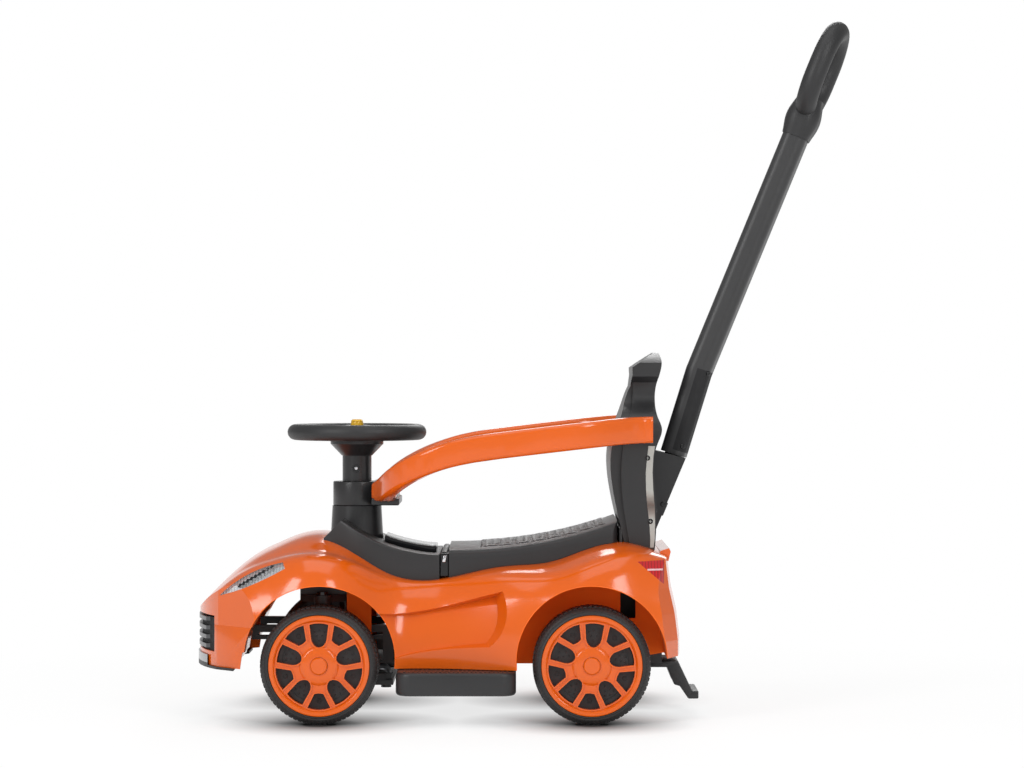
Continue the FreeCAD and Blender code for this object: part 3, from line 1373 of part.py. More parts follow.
def footrest_outline(margin):
    """Corners of the left foot board from above, drawn in by a margin."""
    front, rear = f"car.footrest_front_x + {margin}", f"car.footrest_rear_x - ({margin})"
    outer = f"-(car.footrest_outer - ({margin}))"
    inner = f"-(car.footrest_outer - car.footrest_depth) - ({margin})"
    return [
        (front, inner), (front, f"{outer} + 10"), (f"{front} + 3", f"{outer} + 3"), (f"{front} + 10", outer),
        (f"{rear} - 10", outer), (f"{rear} - 3", f"{outer} + 3"), (rear, f"{outer} + 10"), (rear, inner)]


def make_footrests():
    """Foot boards beside the sills: grooved on top, hollow below, each on a tongue under the pan."""
    body = padded("footrest_left", "XY_Plane", footrest_outline("0"), "car.footrest_height")
    hollow = outline(new_sketch(body, "XY_Plane", "footrest_left_hollow"), footrest_outline("car.footrest_wall"))
    bind(hollow, {"AttachmentOffset.Base.z": "-car.footrest_height / 2"})
    scoop = body.newObject("PartDesign::Pocket", "footrest_left_scoop")
    scoop.Profile = hollow
    scoop.Reversed = True
    bind(scoop, {"Length": "car.footrest_height - car.footrest_wall"})
    brow = "car.footrest_height / 2"
    start = "car.footrest_front_x + 14"
    groove = outline(new_sketch(body, "XZ_Plane", "footrest_left_groove"), [
        (start, f"{brow} - 1.2"), (f"{start} + car.footrest_groove", f"{brow} - 1.2"),
        (f"{start} + car.footrest_groove", f"{brow} + 1"), (start, f"{brow} + 1")])
    bind(groove, {"AttachmentOffset.Base.z": "car.footrest_outer - 7"})
    slot = body.newObject("PartDesign::Pocket", "footrest_left_slot")
    slot.Profile = groove
    bind(slot, {"Length": "car.footrest_depth - 18"})
    pattern = body.newObject("PartDesign::LinearPattern", "footrest_left_grooves")
    pattern.Originals = [slot]
    pattern.Direction = (origin_feature(body, "X_Axis"), [""])
    bind(pattern, {
        "Length": "car.footrest_rear_x - car.footrest_front_x - 28 - car.footrest_groove",
        "Occurrences": "car.footrest_grooves"})
    body.Tip = pattern
    tongue = outline(new_sketch(body, "XZ_Plane", "footrest_left_tongue"), [
        ("car.footrest_front_x + 20", "-car.footrest_height / 2 + 6"),
        ("car.footrest_rear_x - 20", "-car.footrest_height / 2 + 6"),
        ("car.footrest_rear_x - 20", "car.footrest_height / 2 + car.sill_z - car.footrest_top_z"),
        ("car.footrest_front_x + 20", "car.footrest_height / 2 + car.sill_z - car.footrest_top_z"),
    ])
    bind(tongue, {"AttachmentOffset.Base.z": "car.footrest_outer - car.footrest_depth - 34"})
    pad = body.newObject("PartDesign::Pad", "footrest_left_tongue_pad")
    pad.Profile = tongue
    bind(pad, {"Length": "36"})
    DOC.recompute()
    placed(body, ("0", "0", "car.footrest_top_z - car.footrest_height / 2"))
    keep(body, "footrest_left")
    mirrored(body, "footrest_right")


def make_bracket():
    """Anti-tip bracket: a bent plate from the pan down to a foot bar behind the car."""
    x, z = car.foot_bar_x, car.foot_bar_z
    top = car.sill_z
    profile = [
        (car.tail_x - 42, top), (x - 26, top), (x - 8, z + 8), (x, z + 8), (x, z - 2), (x - 13, z - 2),
        (x - 24, z + 14), (x - 31, z + 16), (x - 40, top - 8), (car.tail_x - 42, top - 8)]
    half = 44
    plate = prism([Vector(px, -half, pz) for px, pz in profile], Vector(0, 2 * half, 0))
    gap = box(x - 34, x - 10, -0.45 * half, 0.45 * half, z + 10, top - 9)
    feature("anti_tip_bracket", plate.cut(gap))


make_front_trim()
make_wheels()
make_front_axle()
make_tie_rod()
make_rear_axle()
make_steering()
guard_seat = make_console()
make_seat()
make_handle(make_backrest())
make_guards(guard_seat)
make_pan()
make_footrests()
make_bracket()


def check_and_export():
    """Stop on any failed object or bad shape, then write one file per sub-part."""
    DOC.recompute()
    for item in DOC.Objects:
        bad = {"Invalid", "Error"} & set(item.State)
        if bad:
            raise RuntimeError(f"{item.Label}: {sorted(bad)}")
    for piece in PIECES:
        if piece.Shape.isNull() or not piece.Shape.isValid():
            raise RuntimeError(f"{piece.Label}: no valid shape")
    os.makedirs("parts", exist_ok=True)
    for piece in PIECES:
        piece.Shape.exportStep(f"parts/{piece.Label}.step")
        print(piece.Label, len(piece.Shape.Solids), round(piece.Shape.Volume))


check_and_export()
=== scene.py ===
"""Looks of the push car with handle: finishes, fine pieces, camera and light."""

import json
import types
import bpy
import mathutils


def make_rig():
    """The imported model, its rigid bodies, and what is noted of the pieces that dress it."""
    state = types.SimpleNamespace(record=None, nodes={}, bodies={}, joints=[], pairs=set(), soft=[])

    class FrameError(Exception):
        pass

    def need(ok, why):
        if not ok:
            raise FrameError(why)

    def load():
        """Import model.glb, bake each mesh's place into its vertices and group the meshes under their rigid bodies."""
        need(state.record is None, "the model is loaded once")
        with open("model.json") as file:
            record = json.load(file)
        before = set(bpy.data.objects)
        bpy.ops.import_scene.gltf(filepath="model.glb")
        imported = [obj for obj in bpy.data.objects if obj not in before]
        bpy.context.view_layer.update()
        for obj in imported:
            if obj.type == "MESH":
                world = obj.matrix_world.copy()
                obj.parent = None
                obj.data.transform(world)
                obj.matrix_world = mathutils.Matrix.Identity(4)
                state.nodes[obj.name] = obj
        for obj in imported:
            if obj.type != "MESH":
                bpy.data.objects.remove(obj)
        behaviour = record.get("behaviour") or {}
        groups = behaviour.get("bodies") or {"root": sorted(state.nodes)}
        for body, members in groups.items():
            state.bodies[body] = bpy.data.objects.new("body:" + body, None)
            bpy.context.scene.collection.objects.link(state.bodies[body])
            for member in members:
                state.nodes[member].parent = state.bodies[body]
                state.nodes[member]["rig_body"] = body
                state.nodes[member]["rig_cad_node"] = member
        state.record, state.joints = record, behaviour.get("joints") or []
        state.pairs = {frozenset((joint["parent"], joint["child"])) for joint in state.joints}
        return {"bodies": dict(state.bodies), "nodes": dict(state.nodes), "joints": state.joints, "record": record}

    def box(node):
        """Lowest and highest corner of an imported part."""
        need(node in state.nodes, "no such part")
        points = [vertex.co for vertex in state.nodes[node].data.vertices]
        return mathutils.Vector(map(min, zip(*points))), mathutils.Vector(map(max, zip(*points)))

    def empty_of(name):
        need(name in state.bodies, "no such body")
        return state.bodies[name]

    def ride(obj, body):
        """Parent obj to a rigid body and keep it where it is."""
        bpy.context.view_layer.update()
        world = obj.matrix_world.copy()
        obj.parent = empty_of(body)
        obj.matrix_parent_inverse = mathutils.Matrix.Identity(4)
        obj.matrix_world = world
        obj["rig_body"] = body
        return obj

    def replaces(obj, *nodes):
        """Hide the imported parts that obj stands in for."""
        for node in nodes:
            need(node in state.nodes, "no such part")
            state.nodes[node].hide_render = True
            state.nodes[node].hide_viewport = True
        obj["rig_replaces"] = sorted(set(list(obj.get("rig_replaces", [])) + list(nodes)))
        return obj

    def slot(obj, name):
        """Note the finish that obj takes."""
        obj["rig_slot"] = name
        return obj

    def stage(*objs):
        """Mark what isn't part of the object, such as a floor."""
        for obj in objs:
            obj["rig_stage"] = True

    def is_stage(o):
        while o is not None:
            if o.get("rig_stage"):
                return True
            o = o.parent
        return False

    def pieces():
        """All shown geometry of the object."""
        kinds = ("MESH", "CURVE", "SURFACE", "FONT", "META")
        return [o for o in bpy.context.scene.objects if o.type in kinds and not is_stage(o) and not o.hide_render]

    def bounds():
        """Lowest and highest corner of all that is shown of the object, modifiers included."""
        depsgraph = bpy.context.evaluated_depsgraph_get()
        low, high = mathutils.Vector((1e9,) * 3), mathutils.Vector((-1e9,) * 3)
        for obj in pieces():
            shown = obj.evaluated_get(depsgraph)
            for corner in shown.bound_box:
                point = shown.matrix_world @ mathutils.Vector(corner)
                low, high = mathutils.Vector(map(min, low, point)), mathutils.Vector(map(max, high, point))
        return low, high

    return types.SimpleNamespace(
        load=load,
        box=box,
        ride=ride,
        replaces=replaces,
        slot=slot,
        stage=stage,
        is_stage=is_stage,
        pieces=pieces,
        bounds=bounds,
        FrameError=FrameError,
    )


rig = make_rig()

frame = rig.load()

import json
import logging
import math
from dataclasses import dataclass
from enum import Enum
from functools import cached_property
from typing import Callable, Iterable, Sequence

import bpy
from mathutils import Matrix, Vector
from mathutils.bvhtree import BVHTree

Piece = bpy.types.Object
Plan = tuple[float, float]
Point = tuple[float, float, float]
Colour = tuple[float, float, float]

LOG = logging.getLogger("push_car")
CAD_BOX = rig.bounds()
NODES: dict[str, Piece] = frame["nodes"]
SLOTS: dict[str, str] = {row["node"]: row["material_slot"] for row in frame["record"]["subparts"]}
# Distance from the car's middle at which lines towards its sides start.
OUTSIDE = 0.30
MERGE_DISTANCE = 0.00001
SMOOTH_ANGLE = 34.0
# Half of a fifth of a turn, from the middle of one opening of a cover to the next.
FIFTH_HALF = math.radians(36)


class Side(Enum):
    """Side of the car, as the sign of Y."""

    LEFT = -1
    RIGHT = 1

    @property
    def label(self) -> str:
        """The side's word in the names of pieces."""
        return self.name.lower()


class Axle(Enum):
    """Axle of the car, with its X position in metres."""

    FRONT = -0.255
    REAR = 0.0815


def maths(operation: str, swapped: bool = False) -> Callable[["Field", "Field | float"], "Field"]:
    """Method of a field that adds one Math node.

    Args:
        operation: Name of the node's operation.
        swapped: Whether the other value comes first.

    Returns:
        The method.
    """
    def method(self: "Field", other: "Field | float") -> "Field":
        """Result of the node."""
        values = (other, self) if swapped else (self, other)
        return self.sheet.node("ShaderNodeMath", {"operation": operation}, dict(enumerate(values)))
    return method


class Field:
    """A socket of a finish's node sheet; arithmetic on it adds Math nodes."""

    def __init__(self, sheet: "NodeSheet", socket: bpy.types.NodeSocket) -> None:
        """Wrap one output socket of a sheet."""
        self.sheet = sheet
        self.socket = socket

    __add__ = __radd__ = maths("ADD")
    __mul__ = __rmul__ = maths("MULTIPLY")
    __sub__ = maths("SUBTRACT")
    __rsub__ = maths("SUBTRACT", swapped=True)
    __pow__ = maths("POWER")
    least = maths("MINIMUM")

    def clipped(self) -> "Field":
        """This value kept between zero and one."""
        return self.sheet.node("ShaderNodeClamp", None, {"Value": self})


class NodeSheet:
    """Node sheet of a material or a world."""

    def __init__(self, tree: bpy.types.NodeTree) -> None:
        """Start with an empty sheet."""
        self.tree = tree
        self.tree.nodes.clear()

    def node(self, kind: str, settings: dict | None = None, sockets: dict | None = None,
             output: int | str = 0) -> Field:
        """Add a node.

        Args:
            kind: Type of the node.
            settings: Its properties.
            sockets: Values or links of its inputs.
            output: Which output to return.

        Returns:
            The chosen output.
        """
        made = self.tree.nodes.new(kind)
        for key, value in (settings or {}).items():
            setattr(made, key, value)
        self.feed(made, sockets or {})
        return Field(self, made.outputs[output])

    def feed(self, node: bpy.types.Node, sockets: dict) -> None:
        """Set or link inputs of a node.

        Args:
            node: Node to feed.
            sockets: Values or fields, by the inputs' names or numbers.
        """
        for key, value in sockets.items():
            if isinstance(value, Field):
                self.tree.links.new(value.socket, node.inputs[key])
            else:
                node.inputs[key].default_value = value

    def end(self, kind: str, surface: Field) -> None:
        """Link a shader to a new output node."""
        self.feed(self.tree.nodes.new(kind), {"Surface": surface})

    def here(self) -> Field:
        """Object coordinates."""
        return self.node("ShaderNodeTexCoord", None, None, "Object")

    def axis(self, vector: Field, name: str) -> Field:
        """One component of a vector."""
        return self.node("ShaderNodeSeparateXYZ", None, {0: vector}, name)

    def mix(self, share: Field, first: Field, second: Field) -> Field:
        """Shader between two shaders."""
        return self.node("ShaderNodeMixShader", None, {0: share, 1: first, 2: second})

    def total(self, first: Field, second: Field) -> Field:
        """Sum of two shaders."""
        return self.node("ShaderNodeAddShader", None, {0: first, 1: second})

    def glow(self, strength: float) -> Field:
        """Shader that gives off white light."""
        return self.node("ShaderNodeEmission", None, {"Strength": strength})

    def matt(self, grey: float) -> Field:
        """Plain grey shader without gloss."""
        return self.node("ShaderNodeBsdfDiffuse", None, {"Color": (grey, grey, grey, 1)})

    def ray(self, kind: str) -> Field:
        """One for rays of one kind, such as Camera, zero for others."""
        return self.node("ShaderNodeLightPath", None, None, f"Is {kind} Ray")

    def seen(self) -> Field:
        """One where the camera, a gloss or a clear piece looks, zero for plain light."""
        return (self.ray("Camera") + self.ray("Glossy") + self.ray("Transmission")).clipped()

    def from_axles(self, along: Field, off: Field) -> Field:
        """Distance from the nearest axle, given along the car and square to it."""
        front, rear = ((along - axle.value) * (along - axle.value) + off * off for axle in Axle)
        return front.least(rear) ** 0.5


class FinishSheet(NodeSheet):
    """Node sheet of one material with a Principled shader."""

    def __init__(self, name: str) -> None:
        """Start a sheet with its shader.

        Args:
            name: Name of the material.
        """
        self.material = bpy.data.materials.new(name)
        self.material.use_nodes = True
        super().__init__(self.material.node_tree)
        self.shader = self.tree.nodes.new("ShaderNodeBsdfPrincipled")
        self.end("ShaderNodeOutputMaterial", Field(self, self.shader.outputs["BSDF"]))

    def set(self, **sockets: "Field | float | Sequence[float]") -> None:
        """Set or link inputs of the shader; underscores stand for blanks."""
        self.feed(self.shader, {key.replace("_", " "): value for key, value in sockets.items()})

    def place(self, scale: Point = (1, 1, 1)) -> Field:
        """Object coordinates, scaled along each axis."""
        return self.node("ShaderNodeMapping", None, {"Vector": self.here(), "Scale": scale})

    def noise(self, scale: float, detail: float = 3.0, rough: float = 0.5, at: Field | None = None) -> Field:
        """Soft noise between zero and one, with its waves per metre and octaves."""
        return self.node("ShaderNodeTexNoise", None, {
            "Vector": at or self.place(), "Scale": scale, "Detail": detail, "Roughness": rough})

    def blend(self, share: Field, first: "Field | Sequence[float]", second: Sequence[float]) -> Field:
        """Colour between two colours, by the share of the second."""
        start = first if isinstance(first, Field) else (*first, 1.0)
        return self.node("ShaderNodeMix", {"data_type": "RGBA"}, {0: share, 6: start, 7: (*second, 1.0)}, 2)

    def relief(self, height: Field, strength: float, distance: float) -> Field:
        """Normal bumped by a height, to a depth in metres."""
        return self.node("ShaderNodeBump", None, {
            "Height": height, "Strength": strength, "Distance": distance})


@dataclass(frozen=True)
class MouldedPlastic:
    """Moulded plastic: colour drift, fine grain and an uneven gloss."""

    name: str
    colour: Colour
    roughness: float
    grain_scale: float = 900.0
    grain_depth: float = 0.00012
    drift: float = 0.06
    coat: float = 0.0
    specular: float = 0.5
    cloud_scale: float = 9.0
    smear_scale: float = 34.0
    dull_roughness: float = 0.9
    # Factor that lightens the colour where the matt share is one: painted light.
    dull_lift: float = 1.32

    def sheet(self) -> bpy.types.Material:
        """Make the material.

        Returns:
            The finished material.
        """
        sheet = FinishSheet(self.name)
        dark = [channel * (1 - self.drift) for channel in self.colour]
        light = [min(1.0, channel * (1 + self.drift) + 0.002) for channel in self.colour]
        grain = sheet.noise(self.grain_scale, 2.0, 0.6)
        smear = sheet.noise(self.smear_scale, 5.0, 0.65)
        tint = sheet.blend(sheet.noise(self.cloud_scale, 4.0), dark, light)
        gloss = (self.roughness * 0.82 + smear * (self.roughness * 0.36)).clipped()
        coat = self.coat
        dull = self.dull(sheet)
        if dull is not None:
            # Painted light: where the matt share is one, the colour is lightened against the shade in the wells.
            tint = sheet.blend(dull, tint, [min(0.96, channel * self.dull_lift) for channel in self.colour])
            gloss = gloss + dull * (self.dull_roughness - self.roughness)
            coat = self.coat - dull * self.coat
        sheet.set(
            Base_Color=tint, Roughness=gloss, Normal=sheet.relief(grain, 0.35, self.grain_depth),
            Specular_IOR_Level=self.specular, Coat_Weight=coat, Coat_Roughness=0.06)
        return sheet.material

    def dull(self, sheet: FinishSheet) -> Field | None:
        """Share of matt surface whose colour is lightened as painted light, none here."""
        return None


@dataclass(frozen=True)
class ShellPlastic(MouldedPlastic):
    """Glossy moulding that is matt inside its wheel wells, where its colour is lightened as painted light against the
    shade.
    """

    well_radius: float = 0.0940
    well_height: float = 0.0790
    well_edge: float = 2000.0

    def dull(self, sheet: FinishSheet) -> Field | None:
        """Share of matt surface with painted light, one inside the wells.

        Args:
            sheet: Node sheet of the material.

        Returns:
            The share.
        """
        here = sheet.place()
        rise = sheet.axis(here, "Z") - self.well_height
        nearest = sheet.from_axles(sheet.axis(here, "X"), rise)
        return ((self.well_radius - nearest) * self.well_edge).clipped()


@dataclass(frozen=True)
class PlatedMetal:
    """Plated or polished metal with faint brushing."""

    name: str
    colour: Colour
    roughness: float
    brushing: float = 0.4
    line_scale: float = 420.0
    line_stretch: float = 0.12
    stain_scale: float = 26.0
    stain_share: float = 0.86

    def sheet(self) -> bpy.types.Material:
        """Make the material.

        Returns:
            The finished material.
        """
        sheet = FinishSheet(self.name)
        lines = sheet.noise(self.line_scale, 3.0, 0.6, sheet.place((1.0, 1.0, self.line_stretch)))
        stained = [channel * self.stain_share for channel in self.colour]
        sheet.set(
            Base_Color=sheet.blend(sheet.noise(self.stain_scale, 4.0), stained, self.colour),
            Roughness=(self.roughness + lines * (self.roughness * self.brushing)).clipped(),
            Normal=sheet.relief(lines, 0.15, 0.00008), Metallic=1.0)
        return sheet.material


@dataclass(frozen=True)
class TintedLens:
    """Clear or tinted lens with moulded flutes inside."""

    name: str
    colour: Colour
    alpha: float
    flutes: float = 520.0
    flute_depth: float = 0.0006
    deep_share: float = 0.55

    def sheet(self) -> bpy.types.Material:
        """Make the material.

        Returns:
            The finished material.
        """
        sheet = FinishSheet(self.name)
        flutes = sheet.node("ShaderNodeTexWave", {"bands_direction": "X", "wave_profile": "SIN"}, {
            "Vector": sheet.place(), "Scale": self.flutes / 6.283, "Distortion": 0.0})
        deep = [channel * self.deep_share for channel in self.colour]
        sheet.set(
            Base_Color=sheet.blend(flutes, deep, self.colour),
            Roughness=0.06 + flutes * 0.05, Normal=sheet.relief(flutes, 0.25, self.flute_depth),
            Alpha=self.alpha, Coat_Weight=0.6, Coat_Roughness=0.03)
        return sheet.material


@dataclass(frozen=True)
class EdgedTrim:
    """Black moulding whose upper edge is plated."""

    name: str
    plated: Colour
    black: Colour
    level: float
    sharpness: float = 1500.0
    grain_scale: float = 900.0

    def sheet(self) -> bpy.types.Material:
        """Make the material.

        Returns:
            The finished material.
        """
        sheet = FinishSheet(self.name)
        share = ((sheet.axis(sheet.place(), "Z") - self.level) * self.sharpness).clipped()
        grain = sheet.noise(self.grain_scale, 2.0, 0.6)
        sheet.set(
            Base_Color=sheet.blend(share, self.black, self.plated), Metallic=share,
            Roughness=0.44 - share * 0.22 + grain * 0.06, Normal=sheet.relief(grain, 0.25, 0.00006))
        return sheet.material


PAINT = ((0.71, 0.110, 0.0035), 0.15, 260.0, 0.00003, 0.03, 0.20, 0.45)


class Finish(Enum):
    """Every finish of the car."""

    ORANGE = MouldedPlastic("orange_moulding", *PAINT)
    SHELL = ShellPlastic("shell_moulding", *PAINT)
    BLACK = MouldedPlastic("black_moulding", (0.020, 0.020, 0.021), 0.42, 1500.0, 0.00010)
    GRIP = MouldedPlastic("grip_moulding", (0.017, 0.017, 0.018), 0.50, 1900.0, 0.00014)
    MATT = MouldedPlastic("matt_black_moulding", (0.019, 0.019, 0.020), 0.74, 1500.0, 0.00010, specular=0.30)
    POLE = MouldedPlastic("pole_moulding", (0.030, 0.030, 0.031), 0.42, 1500.0, 0.00010)
    SATIN = MouldedPlastic("satin_black_moulding", (0.018, 0.018, 0.019), 0.30, 1100.0, 0.00005)
    GLOSS = MouldedPlastic("gloss_black_moulding", (0.006, 0.006, 0.007), 0.14, 300.0, 0.00003, 0.05, 0.2,
                           0.35)
    TYRE = MouldedPlastic("tyre_moulding", (0.019, 0.017, 0.017), 0.50, 700.0, 0.00016)
    STEEL = PlatedMetal("zinc_plated_steel", (0.52, 0.53, 0.55), 0.30)
    CHROME = PlatedMetal("bright_trim", (0.80, 0.80, 0.82), 0.12)
    SMOKED = PlatedMetal("smoked_trim", (0.15, 0.15, 0.155), 0.26)
    LENS = TintedLens("clear_lens", (0.86, 0.88, 0.90), 0.22)
    RED = TintedLens("red_lens", (0.60, 0.004, 0.010), 1.0)
    SPLITTER = EdgedTrim("splitter_trim", (0.36, 0.36, 0.37), (0.018, 0.018, 0.019), 0.0705)
    # Painted highlight: pale pink for the white glint across the tail lens.
    PALE = MouldedPlastic("pale_lens", (0.80, 0.52, 0.54), 0.18, 300.0, 0.00003, 0.04, 0.4)
    # Painted highlight: pale grey for the light on the backrest's rounded rear edge.
    EDGE = MouldedPlastic("pale_edge_moulding", (0.40, 0.402, 0.372), 0.46, 900.0, 0.00006)
    YELLOW = MouldedPlastic("yellow_moulding", (0.80, 0.46, 0.02), 0.30, 300.0, 0.00004)

    @cached_property
    def material(self) -> bpy.types.Material:
        """The finish's material, made once."""
        return self.value.sheet()


def clear() -> None:
    """Leave edit mode and deselect everything."""
    if bpy.context.object and bpy.context.object.mode != "OBJECT":
        bpy.ops.object.mode_set(mode="OBJECT")
    bpy.ops.object.select_all(action="DESELECT")


def take(piece: Piece) -> None:
    """Select one piece alone and make it active.

    Args:
        piece: Piece to work on.
    """
    clear()
    piece.select_set(True)
    bpy.context.view_layer.objects.active = piece


def named(name: str) -> Piece:
    """Name the primitive that was just added, and return it."""
    bpy.context.active_object.name = name
    return bpy.context.active_object


def open_mesh(piece: Piece) -> None:
    """Open one piece in edit mode with all of it selected.

    Args:
        piece: Piece to open.
    """
    take(piece)
    bpy.ops.object.mode_set(mode="EDIT")
    bpy.ops.mesh.select_all(action="SELECT")


def close_mesh() -> None:
    """Merge doubles, turn faces outwards and leave edit mode."""
    bpy.ops.mesh.select_all(action="SELECT")
    bpy.ops.mesh.remove_doubles(threshold=MERGE_DISTANCE)
    bpy.ops.mesh.normals_make_consistent(inside=False)
    bpy.ops.object.mode_set(mode="OBJECT")


def outline(points: Sequence[Point], name: str) -> Piece:
    """Closed outline: a circle whose corners are put in place.

    Args:
        points: Corners of the outline in metres.
        name: Name of the piece.

    Returns:
        The outline's object.
    """
    clear()
    bpy.ops.mesh.primitive_circle_add(vertices=len(points), radius=0.01, fill_type="NOTHING")
    piece = named(name)
    for vertex, point in zip(piece.data.vertices, points):
        vertex.co = point
    return piece


def spun(profile: Sequence[Plan], steps: int, name: str) -> Piece:
    """Ring spun about Z from a closed profile.

    Args:
        profile: Radius and height of each corner in metres.
        steps: Steps of the spin.
        name: Name of the piece.

    Returns:
        The ring.
    """
    piece = outline([(radius, 0.0, height) for radius, height in profile], name)
    open_mesh(piece)
    bpy.ops.mesh.spin(steps=steps, angle=2 * math.pi, center=(0, 0, 0), axis=(0, 0, 1))
    close_mesh()
    return piece


def prism(points: Sequence[Plan], low: float, high: float, name: str) -> Piece:
    """Upright prism from a flat outline.

    Args:
        points: Corners of the outline in metres.
        low: Height of its foot.
        high: Height of its top.
        name: Name of the piece.

    Returns:
        The prism.
    """
    piece = outline([(x, y, low) for x, y in points], name)
    open_mesh(piece)
    bpy.ops.mesh.edge_face_add()
    bpy.ops.mesh.extrude_region_move(TRANSFORM_OT_translate={"value": (0, 0, high - low)})
    close_mesh()
    return piece


def block(corner: Callable[[Vector], Point], name: str) -> Piece:
    """Six-sided block whose corners are put in place.

    Args:
        corner: Gives a corner's place from its place on a cube of side two.
        name: Name of the piece.

    Returns:
        The block.
    """
    clear()
    bpy.ops.mesh.primitive_cube_add(size=2)
    piece = named(name)
    for vertex in piece.data.vertices:
        vertex.co = corner(vertex.co.copy())
    open_mesh(piece)
    close_mesh()
    return piece


def brick(half: Point, name: str, middle: Point = (0, 0, 0)) -> Piece:
    """Rectangular block from its half sizes and its middle."""
    return block(lambda co: tuple(m + h * c for m, h, c in zip(middle, half, co)), name)


def repeat(piece: Piece, count: int) -> Piece:
    """Copy a piece's mesh round Z.

    Args:
        piece: Piece whose mesh is repeated.
        count: Number of places round the circle.

    Returns:
        The piece.
    """
    open_mesh(piece)
    bpy.ops.mesh.spin(steps=count - 1, dupli=True, angle=2 * math.pi * (count - 1) / count,
                      center=(0, 0, 0), axis=(0, 0, 1))
    bpy.ops.mesh.select_all(action="SELECT")
    bpy.ops.mesh.normals_make_consistent(inside=False)
    bpy.ops.object.mode_set(mode="OBJECT")
    return piece


def join(pieces: Sequence[Piece]) -> Piece:
    """Join pieces into the first of them.

    Args:
        pieces: Pieces to join.

    Returns:
        The first piece.
    """
    take(pieces[0])
    for piece in pieces:
        piece.select_set(True)
    bpy.ops.object.join()
    return pieces[0]


def apply(piece: Piece, kind: str, **settings: object) -> None:
    """Add a modifier and apply it.

    Args:
        piece: Piece to change.
        kind: Type of the modifier.
        **settings: Its settings.
    """
    take(piece)
    modifier = piece.modifiers.new(kind.lower(), kind)
    for key, value in settings.items():
        setattr(modifier, key, value)
    bpy.ops.object.modifier_apply(modifier=modifier.name)


def carve(piece: Piece, tool: Piece, operation: str = "DIFFERENCE") -> None:
    """Cut or join one piece with another and remove the tool."""
    apply(piece, "BOOLEAN", operation=operation, solver="EXACT", object=tool)
    bpy.data.objects.remove(tool)


def soften(piece: Piece, width: float, segments: int = 2, angle: float = 32.0, clamp: bool = True) -> None:
    """Round edges sharper than an angle in degrees; clamped, narrow faces hold the width back."""
    apply(piece, "BEVEL", width=width, segments=segments, limit_method="ANGLE",
          angle_limit=math.radians(angle), miter_outer="MITER_ARC", use_clamp_overlap=clamp)


def copy_to(master: Piece, name: str, matrix: Matrix) -> Piece:
    """Copy a modelled piece to its place, with its own mesh.

    Args:
        master: Piece that was modelled once.
        name: Name of the copy.
        matrix: Where the copy goes.

    Returns:
        The copy.
    """
    copy = bpy.data.objects.new(name, master.data.copy())
    copy.data.name = name
    copy.data.transform(matrix)
    bpy.context.scene.collection.objects.link(copy)
    return copy


def hand_over(piece: Piece, finish: Finish, body: str, slot: str, nodes: Sequence[str] = ()) -> None:
    """Dress a finished piece and tie it to its body.

    Args:
        piece: Finished piece.
        finish: Its finish.
        body: Body it moves with.
        slot: Material slot of the record.
        nodes: CAD nodes that it stands for.
    """
    take(piece)
    bpy.ops.object.shade_smooth_by_angle(angle=math.radians(SMOOTH_ANGLE))
    piece.data.materials.clear()
    piece.data.materials.append(finish.material)
    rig.ride(piece, body)
    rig.slot(piece, slot)
    if nodes:
        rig.replaces(piece, *nodes)
    LOG.info("made %s on %s", piece.name, body)


def dress(names: Iterable[str], finish: Finish) -> None:
    """Give CAD nodes a finish.

    Args:
        names: Names of the nodes.
        finish: Finish to assign.
    """
    for name in names:
        node = NODES[name]
        node.data.materials.clear()
        node.data.materials.append(finish.material)
        LOG.info("dressed %s in %s", name, finish.material.name)


def touch(node: str, start: Point, along: Point) -> tuple[Vector, Vector]:
    """Where a line first meets a CAD node.

    Args:
        node: Name of the node.
        start: Start of the line.
        along: Direction of the line.

    Returns:
        The place on the surface and its outward normal.
    """
    mesh = NODES[node].data
    tree = BVHTree.FromPolygons([vertex.co for vertex in mesh.vertices],
                                [list(face.vertices) for face in mesh.polygons])
    place, normal, _, _ = tree.ray_cast(Vector(start), Vector(along).normalized())
    if place is None:
        raise ValueError(f"no surface of {node} from {start}")
    return place, normal if normal.dot(Vector(along)) < 0 else -normal


def facing(place: Vector, normal: Vector) -> Matrix:
    """Matrix that stands a piece's Z along a normal at a place."""
    return Matrix.Translation(place) @ normal.to_track_quat("Z", "Y").to_matrix().to_4x4()


def about_z(angle: float) -> Matrix:
    """Turn about Z, in radians."""
    return Matrix.Rotation(angle, 4, "Z")


@dataclass
class CadNodes:
    """CAD nodes whose own shape is shown."""

    def dress(self) -> None:
        """Assign a finish to every node by its slot, then to the nodes that have their own."""
        by_slot = {
            "orange_plastic": Finish.ORANGE, "black_plastic": Finish.BLACK, "steel": Finish.STEEL,
            "gloss_black_plastic": Finish.GLOSS, "wheel_plastic": Finish.TYRE, "red_lens": Finish.RED,
            "bright_trim": Finish.CHROME, "clear_lens": Finish.LENS, "yellow_plastic": Finish.YELLOW}
        for node, slot in SLOTS.items():
            dress([node], by_slot[slot])
        dress(["steering_rim", "handle_grip"], Finish.GRIP)
        dress(["kingpins", "seat_hinge_pin", "steering_bolt"], Finish.GLOSS)
        dress(["front_splitter"], Finish.SPLITTER)
        dress(["grille_bars"], Finish.SMOKED)
        dress(["body_shell"], Finish.SHELL)
        dress(["grille_insert", "pole_cover"], Finish.MATT)
        dress(["handle_pole"], Finish.POLE)
        dress(["guard_collar", "column_base", "steering_sleeve", "steering_hub"], Finish.SATIN)


